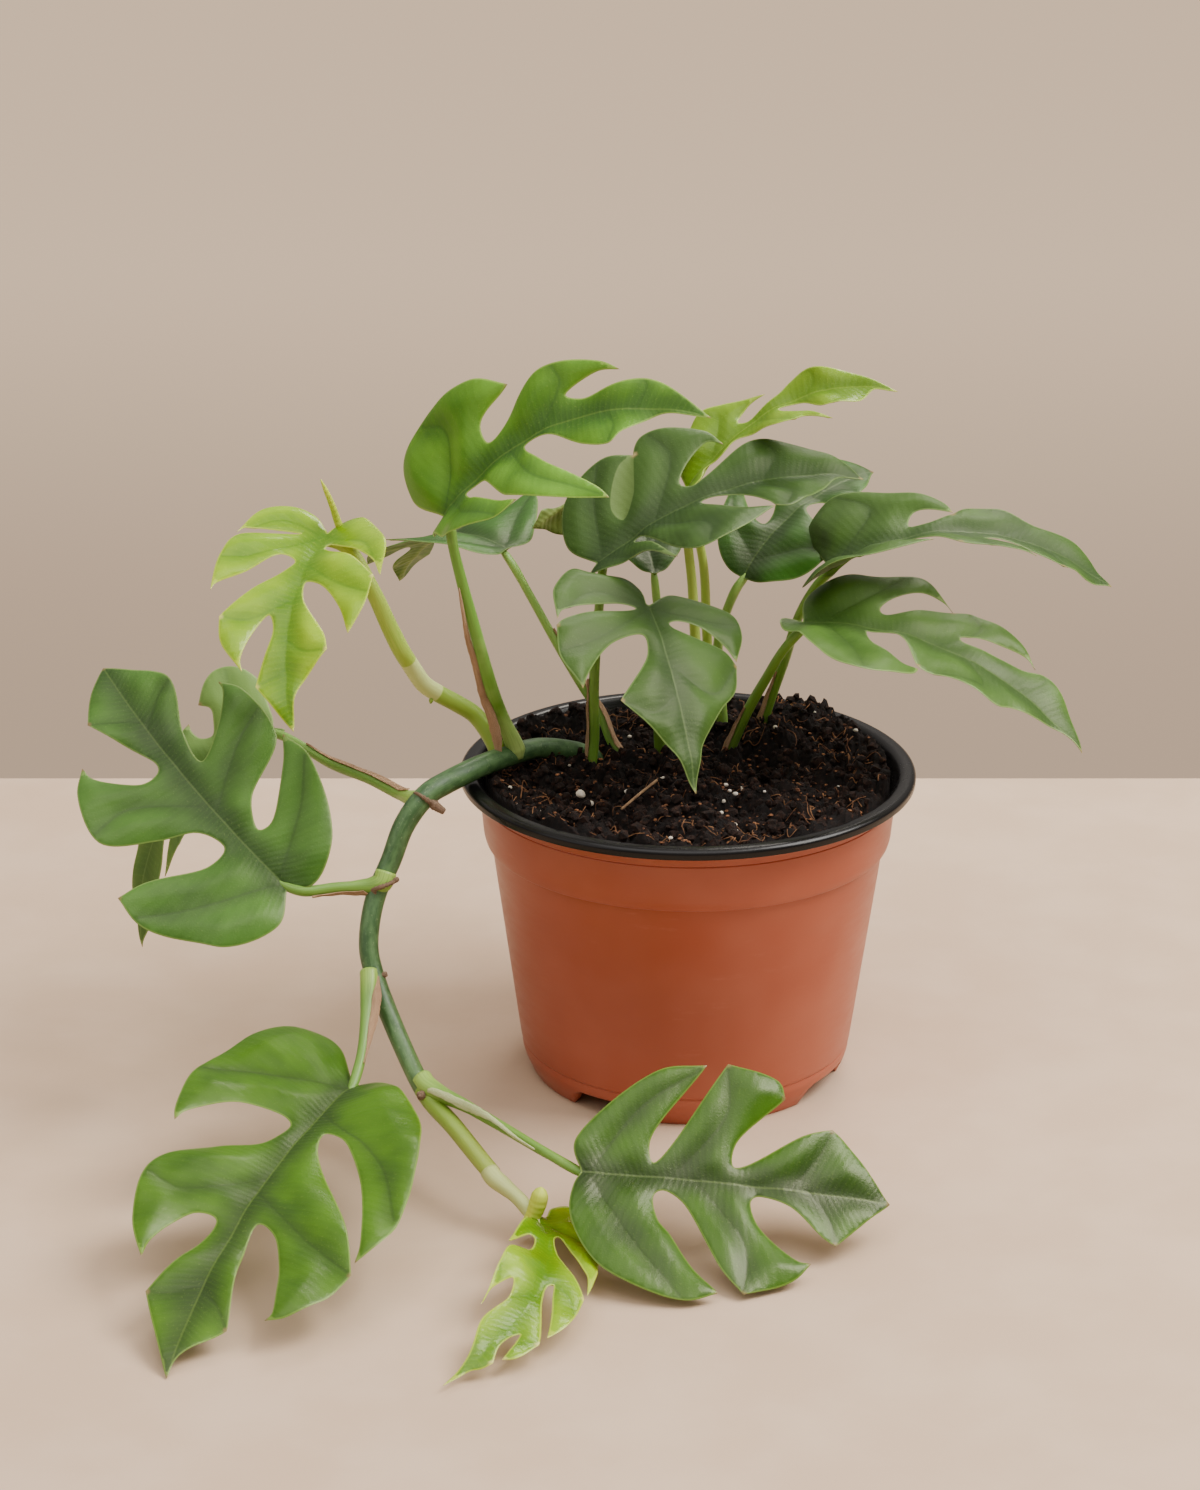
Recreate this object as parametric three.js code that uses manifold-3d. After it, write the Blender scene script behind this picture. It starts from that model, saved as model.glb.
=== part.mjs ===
import * as THREE from "three";
import { mergeVertices } from "three/addons/utils/BufferGeometryUtils.js";
import Module from "manifold-3d";

// Mini monstera (Rhaphidophora tetrasperma) in a terracotta-coloured nursery pot with a black lining.
// Millimetres, +Z up. The origin is the centre of the pot's foot, on the surface that the pot stands on.
// -Y is the front. One long vine hangs over the rim on the -X side and comes forward along the surface.

const wasm = await Module();
wasm.setup();

// ---- Driving dimensions ----

const CLEARANCE = 0.4; // between neighbouring solids
const BLADE_THICKNESS = 0.7;
const STALK_FOOT_RADIUS = 2.3; // a leaf stalk where it leaves the soil or the vine
const STALK_TOP_RADIUS = 1.6; // and where it joins its blade
const STALK_SIDES = 6;
const SHEATH_THICKNESS = 0.8; // the papery scale along a stalk
const SHEATH_ARC = 150; // degrees of the stalk that a sheath wraps
const VINE_SIDES = 8;

const RIM_RADIUS = 75;
const RIM_HEIGHT = 105.7;
const WALL = 0.9; // the pot's terracotta shell
const LINING = 0.8; // the black lining inside it
const POT_SEGMENTS = 32;
const FLOOR_HEIGHT = 7.2; // the underside of the pot's floor, between its feet
const FOOT_NOTCHES = 4;
const FIRST_NOTCH = 60; // degrees, from the front towards +X
const DRAIN_RADIUS = 4;
const DRAIN_CIRCLE = 38;
const SOIL_LEVEL = 100;

// The shell's outside, [radius, height], from above the foot to the collar under the rim.
const shellOutside = [
  [55.6, 10.6],
  [64.7, 75],
  [66.6, 79],
  [67.7, 82],
  [68.9, 99.5],
];

// ---- Geometry helpers ----

const radians = THREE.MathUtils.degToRad;
const vector = (xyz) => new THREE.Vector3(...xyz);

// A closed geometry as a solid that can be joined and cut.
function solid(geometry) {
  geometry.deleteAttribute("normal");
  geometry.deleteAttribute("uv");
  const merged = mergeVertices(geometry, 1e-4);
  return new wasm.Manifold(
    new wasm.Mesh({
      numProp: 3,
      vertProperties: new Float32Array(merged.attributes.position.array),
      triVerts: new Uint32Array(merged.index.array),
    }),
  );
}

// A solid as a named, flat-shaded mesh.
function meshOf(name, body, material) {
  const { vertProperties, triVerts } = body.getMesh();
  const geometry = new THREE.BufferGeometry();
  geometry.setAttribute("position", new THREE.BufferAttribute(vertProperties, 3));
  geometry.setIndex(new THREE.BufferAttribute(triVerts, 1));
  geometry.computeVertexNormals();
  const mesh = new THREE.Mesh(geometry, material);
  mesh.name = name;
  return mesh;
}

function finish(colour, roughness) {
  return new THREE.MeshStandardMaterial({ color: colour, roughness, metalness: 0, flatShading: true });
}

function smoothPath(points) {
  return new THREE.CatmullRomCurve3(points, false, "centripetal");
}

// A tube along a curve. radiusAt(t) gives its radius from 0 at the start to 1 at the end.
function tube(curve, radiusAt, sides, steps) {
  const section = new THREE.Shape();
  for (let i = 0; i < sides; i++) {
    const turn = (2 * Math.PI * i) / sides;
    section[i ? "lineTo" : "moveTo"](Math.cos(turn), Math.sin(turn));
  }
  const geometry = new THREE.ExtrudeGeometry(section, { steps, extrudePath: curve, bevelEnabled: false });
  const centres = curve.getSpacedPoints(steps);
  const position = geometry.attributes.position;
  const corner = new THREE.Vector3();
  for (let i = 0; i < position.count; i++) {
    corner.fromBufferAttribute(position, i);
    const misfit = centres.map((centre) => Math.abs(centre.distanceTo(corner) - 1));
    const ring = misfit.indexOf(Math.min(...misfit));
    corner.sub(centres[ring]).multiplyScalar(radiusAt(ring / steps)).add(centres[ring]);
    position.setXYZ(i, corner.x, corner.y, corner.z);
  }
  return solid(geometry);
}

// A profile of [radius, height] points turned round the Z axis.
function turned(profile) {
  const points = profile.map(([radius, height]) => new THREE.Vector2(radius, height));
  return solid(new THREE.LatheGeometry(points, POT_SEGMENTS).rotateX(Math.PI / 2));
}

// ---- Leaf blades ----

// A blade lies along a bent midrib. u runs along the midrib from the stalk, and v runs out from it,
// with the left half of the blade, seen from above looking to the tip, at positive v.
// heading is the midrib's compass angle at the stalk (0 = +Y, 90 = +X), pitch its rise there and roll
// its turn about itself. Over its length the midrib bends down by droop, turns by twist and bows
// sideways by bow mm. Each half rises from the midrib by fold degrees.
const MIDRIB_ROUNDING = 4; // mm over which the fold at the midrib is rounded

function bladeSurface({ pose, shape }) {
  const { base, heading, pitch, roll, length } = pose;
  const { droop, fold, twist, bow } = shape;
  const [turn, rise, tip] = [radians(heading), radians(pitch), radians(roll)];
  const level = new THREE.Vector3(-Math.cos(turn), Math.sin(turn), 0);
  const forward = new THREE.Vector3(Math.sin(turn), Math.cos(turn), 0);
  const along = forward.multiplyScalar(Math.cos(rise)).setZ(Math.sin(rise));
  const upright = along.clone().cross(level);
  const left = level.clone().multiplyScalar(Math.cos(tip)).addScaledVector(upright, Math.sin(tip));
  const up = upright.clone().multiplyScalar(Math.cos(tip)).addScaledVector(level, -Math.sin(tip));
  const bend = radians(droop) / length;
  return (u, v) => {
    const bent = bend * u;
    const twisted = (radians(twist) * u) / length;
    const normal = up.clone().multiplyScalar(Math.cos(bent)).addScaledVector(along, Math.sin(bent));
    const across = left.clone().multiplyScalar(Math.cos(twisted)).addScaledVector(normal, Math.sin(twisted));
    const raised = normal.clone().multiplyScalar(Math.cos(twisted)).addScaledVector(left, -Math.sin(twisted));
    const height = Math.tan(radians(fold)) * (Math.hypot(v, MIDRIB_ROUNDING) - MIDRIB_ROUNDING);
    return vector(base)
      .addScaledVector(along, Math.sin(bent) / bend)
      .addScaledVector(up, (Math.cos(bent) - 1) / bend)
      .addScaledVector(across, v + (bow * 4 * u * (length - u)) / length ** 2)
      .addScaledVector(raised, height);
  };
}

function surfaceNormal(surface, u, v) {
  const reach = 0.5;
  const alongU = surface(u + reach, v).sub(surface(u - reach, v));
  const alongV = surface(u, v + reach).sub(surface(u, v - reach));
  return alongU.cross(alongV).normalize();
}

// One half of a blade's edge. Each stretch is a smooth curve that starts where the one before ends.
function halfEdge(stretches, side) {
  let start = new THREE.Vector3(0, 0, 0);
  return stretches.flatMap((stretch) => {
    const points = [start, ...stretch.map(([u, v]) => new THREE.Vector3(u, side * v, 0))];
    start = points.at(-1);
    return smoothPath(points)
      .getPoints(stretch.length > 1 ? 2 * stretch.length : 1)
      .slice(1)
      .map((point) => new THREE.Vector2(point.x, point.y));
  });
}

function isInside(point, contour) {
  let inside = false;
  contour.forEach((a, i) => {
    const b = contour[(i + 1) % contour.length];
    const crossing = a.x + ((point.y - a.y) * (b.x - a.x)) / (b.y - a.y);
    if (a.y > point.y !== b.y > point.y && point.x < crossing) inside = !inside;
  });
  return inside;
}

// Points inside the outline that carry the blade's fold and bend: a row on the midrib and rows beside it.
const ROW_SPACING = 13;
const STEP_SPACING = 11;
const EDGE_MARGIN = 3.5;

function innerPoints(contour, length) {
  const points = [];
  const rows = [0, 1, -1, 2, -2, 3, -3].map((row) => row * ROW_SPACING);
  for (let u = -STEP_SPACING; u < length; u += STEP_SPACING)
    for (const v of rows) {
      const point = new THREE.Vector2(u + STEP_SPACING / 2, v);
      const margin = v === 0 ? EDGE_MARGIN / 2 : EDGE_MARGIN;
      const isClear = contour.every((edge) => edge.distanceTo(point) > margin);
      if (isClear && isInside(point, contour)) points.push(point);
    }
  return points;
}

const doubleArea = (a, b, c) => (b.x - a.x) * (c.y - a.y) - (b.y - a.y) * (c.x - a.x);

function isInCircle(a, b, c, d) {
  const rows = [a, b, c].map((p) => {
    const [x, y] = [p.x - d.x, p.y - d.y];
    return [x, y, x * x + y * y];
  });
  const [[ax, ay, aq], [bx, by, bq], [cx, cy, cq]] = rows;
  return ax * (by * cq - bq * cy) - ay * (bx * cq - bq * cx) + aq * (bx * cy - by * cx) > 1e-6;
}

// Swaps the edge that two triangles share wherever that makes them less pointed.
function evenOut(points, triangles) {
  let swapped = true;
  while (swapped) {
    swapped = false;
    const owner = new Map();
    triangles.forEach((corners, t) =>
      corners.forEach((a, k) => owner.set(a + "_" + corners[(k + 1) % 3], [t, k])));
    const changed = new Set();
    for (const [edge, [t, k]] of owner) {
      const [a, b] = edge.split("_").map(Number);
      const other = owner.get(b + "_" + a);
      if (!other || changed.has(t) || changed.has(other[0])) continue;
      const c = triangles[t][(k + 2) % 3];
      const d = triangles[other[0]][(other[1] + 2) % 3];
      if (!isInCircle(points[a], points[b], points[c], points[d])) continue;
      triangles[t] = [c, a, d];
      triangles[other[0]] = [d, b, c];
      changed.add(t).add(other[0]);
      swapped = true;
    }
  }
}

// Adds one point to the triangles that cover it.
function insertPoint(points, triangles, added) {
  const smallest = 1e-6;
  return triangles.flatMap((corners) => {
    const parts = corners.map((corner, k) => [corner, corners[(k + 1) % 3], added]);
    const areas = parts.map((part) => doubleArea(...part.map((index) => points[index])));
    if (areas.some((area) => area < -smallest)) return [corners];
    return parts.filter((_, k) => areas[k] > smallest);
  });
}

// Triangles over the outline, counter-clockwise, the same for both faces of a blade.
function triangulate(contour, inner) {
  const points = [...contour, ...inner];
  let triangles = THREE.ShapeUtils.triangulateShape(contour, []).map(([a, b, c]) =>
    doubleArea(points[a], points[b], points[c]) < 0 ? [a, c, b] : [a, b, c],
  );
  inner.forEach((_, i) => (triangles = insertPoint(points, triangles, contour.length + i)));
  evenOut(points, triangles);
  return { points, triangles };
}

function blade(leaf) {
  const surface = bladeSurface(leaf);
  const scale = leaf.scale ?? 1;
  const contour = [...halfEdge(leaf.outline.right, -1), ...halfEdge(leaf.outline.left, 1).reverse().slice(1)]
    .concat(new THREE.Vector2(0, 0))
    .map((point) => point.multiplyScalar(scale));
  const { points, triangles } = triangulate(contour, innerPoints(contour, leaf.pose.length));
  const faces = [1, -1].map((face) =>
    points.map(({ x, y }) =>
      surface(x, y).addScaledVector(surfaceNormal(surface, x, y), (face * BLADE_THICKNESS) / 2)),
  );
  const count = points.length;
  const top = triangles.flat();
  const bottom = triangles.flatMap(([a, b, c]) => [a + count, c + count, b + count]);
  const edge = contour.flatMap((_, i) => {
    const next = (i + 1) % contour.length;
    return [i, i + count, next + count, i, next + count, next];
  });
  const geometry = new THREE.BufferGeometry().setFromPoints(faces.flat());
  geometry.setIndex([...top, ...bottom, ...edge]);
  return solid(geometry);
}

// ---- Outlines of the blades ----

// Each half of an outline runs from the stalk to the tip, as stretches of smooth edge between angles.
// A point is [along the midrib, out from it] in mm. Gaps between the fingers run in towards the midrib.
const outlineL = {
  left: [
    [[-3.5, 5], [-2.5, 11], [19.5, 33.5], [63.5, 47], [74, 45.5], [82, 40.5]],
    [[75.5, 40], [47, 27], [31, 13.5], [28.5, 6.5], [37.5, 8.5], [71.5, 34], [86.5, 41]],
    [[99, 35.5], [107.5, 28], [109.5, 22.5]],
    [[107, 24], [77, 13], [73.5, 6], [114.5, 12]],
    [[128, 1], [135, 0]],
  ],
  right: [
    [[-17, 15], [-21, 24.5], [-20, 33], [-14.5, 38], [15, 44], [36.5, 39.5], [41.5, 37]],
    [[37, 36], [25, 23.5], [24.5, 9.5], [28, 5.5], [38.5, 8],
     [46, 20.5], [57.5, 32], [66.5, 34], [84.5, 29.5], [99.5, 20.5]],
    [[90, 21], [75.5, 13.5], [75.5, 6.5], [109.5, 15]],
    [[135, 0]],
  ],
};
const outlineM = {
  left: [
    [[-2.5, 9.5], [21.5, 34], [36, 37]],
    [[20, 11], [21.5, 4.5], [42.5, 38]],
    [[58.5, 34], [60.5, 29]],
    [[46, 12.5], [46, 5.5], [67.5, 18], [75.5, 21]],
    [[79, 18.5], [94.5, 0]],
  ],
  right: [
    [[-2, 4.5], [-2.5, 15.5], [8, 33.5], [32, 42.5], [42, 39]],
    [[35, 32], [27, 19.5], [23.5, 15], [22, 6.5], [24.5, 4.5], [30.5, 7.5], [43, 31], [49.5, 38.5]],
    [[64.5, 31.5], [69.5, 25.5]],
    [[65.5, 25], [53.5, 13.5], [51.5, 5], [53.5, 3], [63, 6], [73.5, 15], [77.5, 17]],
    [[94.5, 0]],
  ],
};
const outlineJ = {
  left: [
    [[-9, 11], [-5.5, 28], [1.5, 33.5], [17.5, 43], [28.5, 42.5]],
    [[28, 33.5], [21, 13], [23.5, 5.5], [33, 9], [38.5, 20], [49, 35], [68.5, 31], [76.5, 24.5]],
    [[71, 24], [58.5, 12.5], [59, 6], [62.5, 4.5], [89, 15]],
    [[98, 9.5], [106.5, 0]],
  ],
  right: [
    [[-4.5, 6], [3, 21], [30, 34.5], [42.5, 33]],
    [[33.5, 26.5], [20.5, 10.5], [21.5, 6.5], [31.5, 12], [43.5, 31], [64, 32.5], [73, 28]],
    [[69, 27.5], [60, 20], [53, 7.5], [67.5, 9], [86, 16], [106.5, 0]],
  ],
};
const outlineI = {
  left: [
    [[-8.5, 4], [8, 23], [25, 27.5]],
    [[16, 21.5], [5, 3], [6.5, 2], [14, 14.5], [24.5, 25]],
    [[35.5, 25], [46, 20.5]],
    [[36, 16.5], [24.5, 7], [23, 2], [30, 3], [45.5, 12.5], [51, 14]],
    [[64.5, 3.5], [77.5, 0]],
  ],
  right: [
    [[-8, 8.5], [-10.5, 17], [-7.5, 24.5], [5, 26.5]],
    [[2.5, 25.5], [1, 8], [6, 25.5], [14.5, 27.5], [30, 26]],
    [[27.5, 25.5], [21.5, 18.5], [12, 9], [15, 4], [27, 13.5], [39.5, 21.5]],
    [[49, 20], [58, 13.5]],
    [[54, 14], [37, 6.5], [42.5, 4.5], [63, 9.5]],
    [[77.5, 0]],
  ],
};
const outlineN = {
  left: [
    [[0, 3], [-8, 8], [-14, 16.5], [-10, 18.5], [13.5, 16], [44.5, 14]],
    [[31, 11.5], [20, 6.5], [15.5, 3.5], [17.5, 2], [23, 2.5], [30, 5.5], [46.5, 13.5]],
    [[60, 13.5], [67, 11]],
    [[49, 5], [43, 3.5], [44.5, 2], [53, 3], [70.5, 10.5]],
    [[78.5, 8.5], [80, 6]],
    [[71.5, 4.5], [68, 3.5], [70, 2], [76, 2], [82, 4.5]],
    [[84.5, 3], [86, 1], [94.5, 0]],
  ],
  right: [
    [[15.5, 8.5], [32, 13]],
    [[20.5, 6], [21, 4.5], [29.5, 6], [34, 12], [44.5, 13.5], [64, 11]],
    [[56, 11.5], [47.5, 8], [56, 6], [68, 8], [83, 2.5], [94.5, 0]],
  ],
};
const outlineA = {
  left: [
    [[-13, 19], [-10, 33.5], [20.5, 30.5], [34.5, 20.5]],
    [[22, 15], [23, 8], [26, 7], [47, 19], [67, 16], [73.5, 12.5]],
    [[65.5, 13], [54, 8.5], [59.5, 6], [82, 9.5], [100.5, 0]],
  ],
  right: [
    [[-7, -1], [1, 9.5], [11.5, 21.5], [33.5, 31.5], [41.5, 30]],
    [[23, 15.5], [12, 2.5], [12.5, 2], [19.5, 4], [35.5, 23], [50, 33], [72.5, 38]],
    [[68.5, 33], [47.5, 15], [37.5, 2], [47, 3], [60.5, 11.5],
     [70, 14.5], [73.5, 10.5], [84, 2], [94, 1], [100.5, 0]],
  ],
};
const outlineB = {
  left: [
    [[-5.5, 14], [1, 28], [18, 32.5], [27.5, 27.5]],
    [[22, 26.5], [13, 14.5], [14.5, 8.5], [20.5, 13.5], [31.5, 32.5], [50.5, 25.5], [54.5, 18.5]],
    [[50, 21], [36, 9.5], [39.5, 6.5], [63, 17], [75, 14.5], [91, 5.5], [94.5, 0]],
  ],
  right: [
    [[-4, 2], [-0.5, 5.5], [14.5, 15.5], [22.5, 35]],
    [[18.5, 12.5], [14, 2], [16, 2], [29.5, 37.5], [39.5, 36.5], [57.5, 24.5]],
    [[49, 17.5], [39.5, 2], [51.5, 4.5], [57.5, 17.5], [58.5, 24], [62, 25.5], [88, 1], [94.5, 0]],
  ],
};
const outlineC = {
  left: [
    [[-6.5, 11.5], [-1, 32.5], [8, 33.5], [20.5, 27.5]],
    [[14.5, 24.5], [8.5, 17.5], [6, 8.5], [7.5, 5], [10, 5.5], [17, 24], [22.5, 27]],
    [[33, 23], [40.5, 15.5], [54.5, 5], [69.5, 0]],
  ],
  right: [
    [[-0.5, 1], [-7.5, 1], [-14, 5], [-16.5, 16.5], [-18.5, 21.5], [-8.5, 31.5], [6, 34.5]],
    [[2, 31.5], [-1.5, 11], [1, 5], [3, 22.5], [6.5, 32.5], [9, 35.5]],
    [[21.5, 37], [34, 32.5]],
    [[28.5, 29.5], [16, 17.5], [13.5, 6.5], [19.5, 6], [38, 20]],
    [[55.5, 6], [69.5, 0]],
  ],
};
const outlineE = {
  left: [
    [[-2, 13.5], [8.5, 27], [17, 28], [32, 28], [44, 19.5]],
    [[41, 21.5], [33, 21.5], [24.5, 17], [22, 11],
     [24.5, 8.5], [49, 21.5], [53, 21], [69, 19.5], [75.5, 14]],
    [[72, 16], [61, 13], [49.5, 9], [51.5, 7], [71.5, 10], [79, 13.5], [89, 10.5], [102, 0]],
  ],
  right: [
    [[-7, -1.5], [-4.5, 7], [-1.5, 9.5], [10.5, 26.5], [28, 41.5], [36.5, 34.5], [40.5, 25]],
    [[35, 25.5], [21, 2], [22.5, 2], [30.5, 2], [41, 19.5]],
    [[45.5, 20], [50, 19], [62.5, 19.5], [69.5, 17.5], [73.5, 13], [79, 9.5], [92.5, 1], [102, 0]],
  ],
};
const outlineF = {
  left: [
    [[0.5, 6.5], [8.5, 15], [36.5, 26]],
    [[23.5, 8.5], [23.5, 5], [30, 5.5], [44.5, 13.5], [61, 18], [69, 10.5], [72.5, 0]],
  ],
  right: [
    [[0, 9.5], [11.5, 25.5], [23, 27.5], [33, 24.5]],
    [[30, 22.5], [37.5, 3], [44, 3], [46.5, 6.5], [51, 10.5]],
    [[56.5, 10.5], [72.5, 0]],
  ],
};
const outlineO = {
  left: [[[3, 4.5], [9, 9], [18, 12], [29, 11], [39, 6], [46, 0]]],
  right: [[[3, 4.5], [9, 9], [18, 12], [29, 11], [39, 6], [46, 0]]],
};
const outlineP = {
  left: [[[0, 2], [6, 5], [14, 4.5], [23, 1], [30, 1], [34.5, 3.5], [40.5, 0]]],
  right: [[[1, 10], [9, 16.5], [14, 11.5], [20, 13.5], [27, 13.5], [33.5, 8.5], [37, 3], [40.5, 0]]],
};
const outlineQ = {
  left: [
    [[-2, 7], [3, 16], [10, 22], [18, 28], [24, 32]],
    [[22, 24], [21, 16], [23, 10], [27, 9], [34, 16], [44, 22], [50, 19]],
    [[46, 13], [41, 8], [43, 5], [50, 8], [61.5, 0]],
  ],
  right: [
    [[-1, 9], [4, 17], [11, 26], [18, 34], [23, 38], [26, 36]],
    [[24, 28], [22, 18], [23, 12], [27, 9], [31, 12], [36, 22], [42, 27], [47, 24]],
    [[43, 17], [38, 9], [40, 6], [47, 9], [55, 9], [61.5, 0]],
  ],
};
const outlineG = {
  left: [
    [[1, 10.5], [12.5, 18.5], [21.5, 15], [31, 9.5], [36, 7]],
    [[29, 7.5], [24, 5], [27, 2.5], [33, 3], [40, 5], [45, 8], [52, 10], [66.5, 5.5], [76.5, 0]],
  ],
  right: [
    [[3, 8.5], [6, 7.5], [8.5, 2], [16, 4.5], [21, 3],
     [30.5, 10], [36.5, 16], [41.5, 16], [45.5, 14.5], [53.5, 25]],
    [[47, 10], [39, 4.5], [38.5, 2], [46, 2.5], [52.5, 11.5],
     [58.5, 11.5], [64, 8.5], [70, 1], [73.5, 0.5], [76.5, 0]],
  ],
};
const outlineD = {
  left: [
    [[-4.5, 28.5], [2.5, 34.5], [8, 35.5], [39, 15.5], [42, 10.5]],
    [[30, 12.5], [28, 6.5], [34.5, 5.5], [42, 9.5]],
    [[46, 13], [55, 13.5], [66, 10], [83.5, 8.5], [97, 0]],
  ],
  right: [
    [[-5, 3], [-8, 12], [-3, 23], [9, 29], [25, 28], [36, 22]],
    [[29, 18], [23, 8], [27, 4], [34, 8], [44, 19]],
    [[55, 20], [68, 17]],
    [[60, 12], [52, 6], [56, 4], [66, 9], [78, 12]],
    [[88, 7], [97, 0]],
  ],
};

const outlineK = {
  left: [
    [[-2, 3], [3, 5], [12, 13.5], [20, 21], [29, 24.5], [37, 21.5]],
    [[29, 13], [24, 5], [28, 3], [38, 9], [48, 12], [56, 11.5], [62.5, 10]],
    [[51.5, 7.5], [44, 3.5], [46, 2], [54, 5.5], [64, 7.5], [74, 7.5], [89.5, 0]],
  ],
  right: [
    [[-2.5, 4], [-6.5, 14], [-10.5, 25], [-10.5, 32.5], [-8.5, 35.5], [-4.5, 35.5], [0.5, 32.5], [9, 24]],
    [[7.5, 20], [10.5, 14], [14.5, 9.5], [17.5, 11.5], [17.5, 16.5], [16, 19.5]],
    [[24, 17], [34, 13], [46, 9], [58.5, 6], [72.5, 5], [89.5, 0]],
  ],
};

// ---- Leaves ----

// Each leaf is a blade and its stalk. A stalk's points run from the soil or the vine up to the blade.
const leaves = [
  {
    name: "leaf_tall_left",
    onVine: true,
    slot: "leaf_bright",
    outline: outlineA,
    pose: { base: [-78.5, -15, 195.5], heading: 128.5, pitch: 40.5, roll: 47.5, length: 100.5 },
    shape: { droop: 43, fold: 19, twist: 12, bow: 10 },
    stalk: [
      [-56.5, 3, 109], [-58.5, 0, 116], [-61.5, -4, 125.5], [-64, -9, 135],
      [-68.5, -14, 155.5], [-73, -14.5, 174], [-76, -14.5, 189],
    ],
  },
  {
    name: "leaf_middle",
    slot: "leaf_green",
    outline: outlineB,
    pose: { base: [-29.5, 9, 172], heading: 82, pitch: 33.5, roll: 16.5, length: 95 },
    shape: { droop: 40, fold: 18, twist: 5, bow: 6 },
    stalk: [
      [-33, 13, 84], [-32, 12, 100.5], [-31, 12.5, 110], [-31, 12, 128],
      [-30, 11, 145.5], [-29, 9.5, 159.5],
    ],
  },
  {
    name: "leaf_front",
    slot: "leaf_green",
    outline: outlineC,
    pose: { base: [-13, -5, 162.5], heading: 159, pitch: -27, roll: -13.5, length: 69.5 },
    shape: { droop: 31, fold: -5, twist: 1, bow: -1 },
    stalk: [
      [-7.5, 26, 84], [-8.5, 23, 98], [-9, 20, 109], [-10, 13, 127.5],
      [-11.5, 5, 147.5], [-12.5, -1, 158],
    ],
  },
  {
    name: "leaf_upper_right",
    slot: "leaf_green",
    outline: outlineD,
    scale: 1.02,
    pose: { base: [46.5, 22, 167], heading: 95, pitch: 34.5, roll: 0, length: 99 },
    shape: { droop: 75, fold: 17, twist: 12, bow: 0 },
    stalk: [[21, 39, 84], [23, 37, 95], [28, 35, 114], [33, 32, 131], [37.5, 29, 148], [43, 25, 160]],
  },
  {
    name: "leaf_lower_right",
    slot: "leaf_green",
    outline: outlineE,
    pose: { base: [37, 0, 155.5], heading: 107, pitch: 1, roll: 7.5, length: 102 },
    shape: { droop: 47, fold: 11, twist: 7, bow: 5 },
    stalk: [[9.5, 29, 84], [14, 22.5, 101], [19.5, 15.5, 117.5], [25.5, 9.5, 132], [32, 3, 146]],
  },
  {
    name: "leaf_back_right",
    slot: "leaf_dark",
    outline: outlineF,
    pose: { base: [19, 40, 158], heading: 45, pitch: 29, roll: 8.5, length: 72.5 },
    shape: { droop: 22, fold: 11, twist: 4, bow: 5 },
    stalk: [[13, 44, 84], [13, 43.5, 102], [12, 42.5, 117], [11, 41.5, 133.5], [13, 41, 143], [17, 40, 154]],
  },
  {
    name: "leaf_young_top",
    slot: "leaf_young",
    outline: outlineG,
    pose: { base: [-0.5, 34, 190.5], heading: 90, pitch: 33, roll: 12, length: 76.5 },
    shape: { droop: 16, fold: 21, twist: 17, bow: 16 },
    stalk: [[5.5, 40.5, 84], [5, 38.5, 104], [4, 36.5, 122.5], [2, 35, 155], [0, 34.5, 179]],
  },
  {
    name: "leaf_back_left",
    slot: "leaf_dark",
    outline: outlineQ,
    pose: { base: [-60, 40, 167.5], heading: -47.5, pitch: 17, roll: -0, length: 61.5 },
    shape: { droop: 80, fold: 10, twist: 0, bow: 0 },
    stalk: [
      [-14, 19, 84], [-19, 19, 97], [-25, 21, 106], [-29, 23.5, 115.5], [-34.5, 26, 123.5],
      [-42.5, 30, 136], [-51.5, 35, 151.5], [-58.5, 39, 163],
    ],
  },
  {
    name: "leaf_behind",
    slot: "leaf_dark",
    outline: outlineO,
    pose: { base: [-10.5, 40, 159], heading: -8, pitch: 19.5, roll: 0, length: 46 },
    shape: { droop: 15, fold: 10, twist: 0, bow: 0 },
    stalk: [[-1, 33, 84], [-1, 32.5, 98], [-3.5, 32, 110], [-7, 36, 130], [-9.5, 39, 146.5]],
  },
  {
    name: "leaf_pale_back",
    slot: "leaf_young",
    outline: outlineP,
    pose: { base: [-17, 55, 191], heading: -90.5, pitch: -21.5, roll: 68.5, length: 40.5 },
    shape: { droop: 30, fold: 5, twist: 0, bow: 0 },
    stalk: [[10, 50, 84], [9, 51, 103], [7.5, 52, 135], [5.5, 53.5, 162], [1, 54, 176], [-8, 54.5, 185]],
  },
  {
    name: "leaf_vine_back",
    onVine: true,
    slot: "leaf_green",
    outline: outlineK,
    pose: { base: [-139, 25, 109.5], heading: -127.5, pitch: -30, roll: -16, length: 89.5 },
    shape: { droop: 55, fold: 5, twist: 0, bow: -12 },
    stalk: [[-85, -27, 104.5], [-94, -19, 103.5], [-104, -9.5, 103.5], [-118, 4.5, 104.5], [-135, 21, 108]],
  },
  {
    name: "leaf_vine_upper",
    onVine: true,
    slot: "leaf_green",
    outline: outlineJ,
    pose: { base: [-129, -45, 81], heading: -49.5, pitch: 35, roll: -35.5, length: 106.5 },
    shape: { droop: 15, fold: 8, twist: 1, bow: 3 },
    stalk: [[-98, -38.5, 80], [-104.5, -39.5, 80.5], [-114, -42, 79.5], [-124, -44.5, 79.5]],
  },
  {
    name: "leaf_vine_lower_left",
    onVine: true,
    slot: "leaf_green",
    outline: outlineL,
    pose: { base: [-106, -88, 32.5], heading: -160, pitch: -6, roll: -2, length: 135 },
    shape: { droop: 15, fold: 7, twist: -6, bow: -5 },
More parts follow.
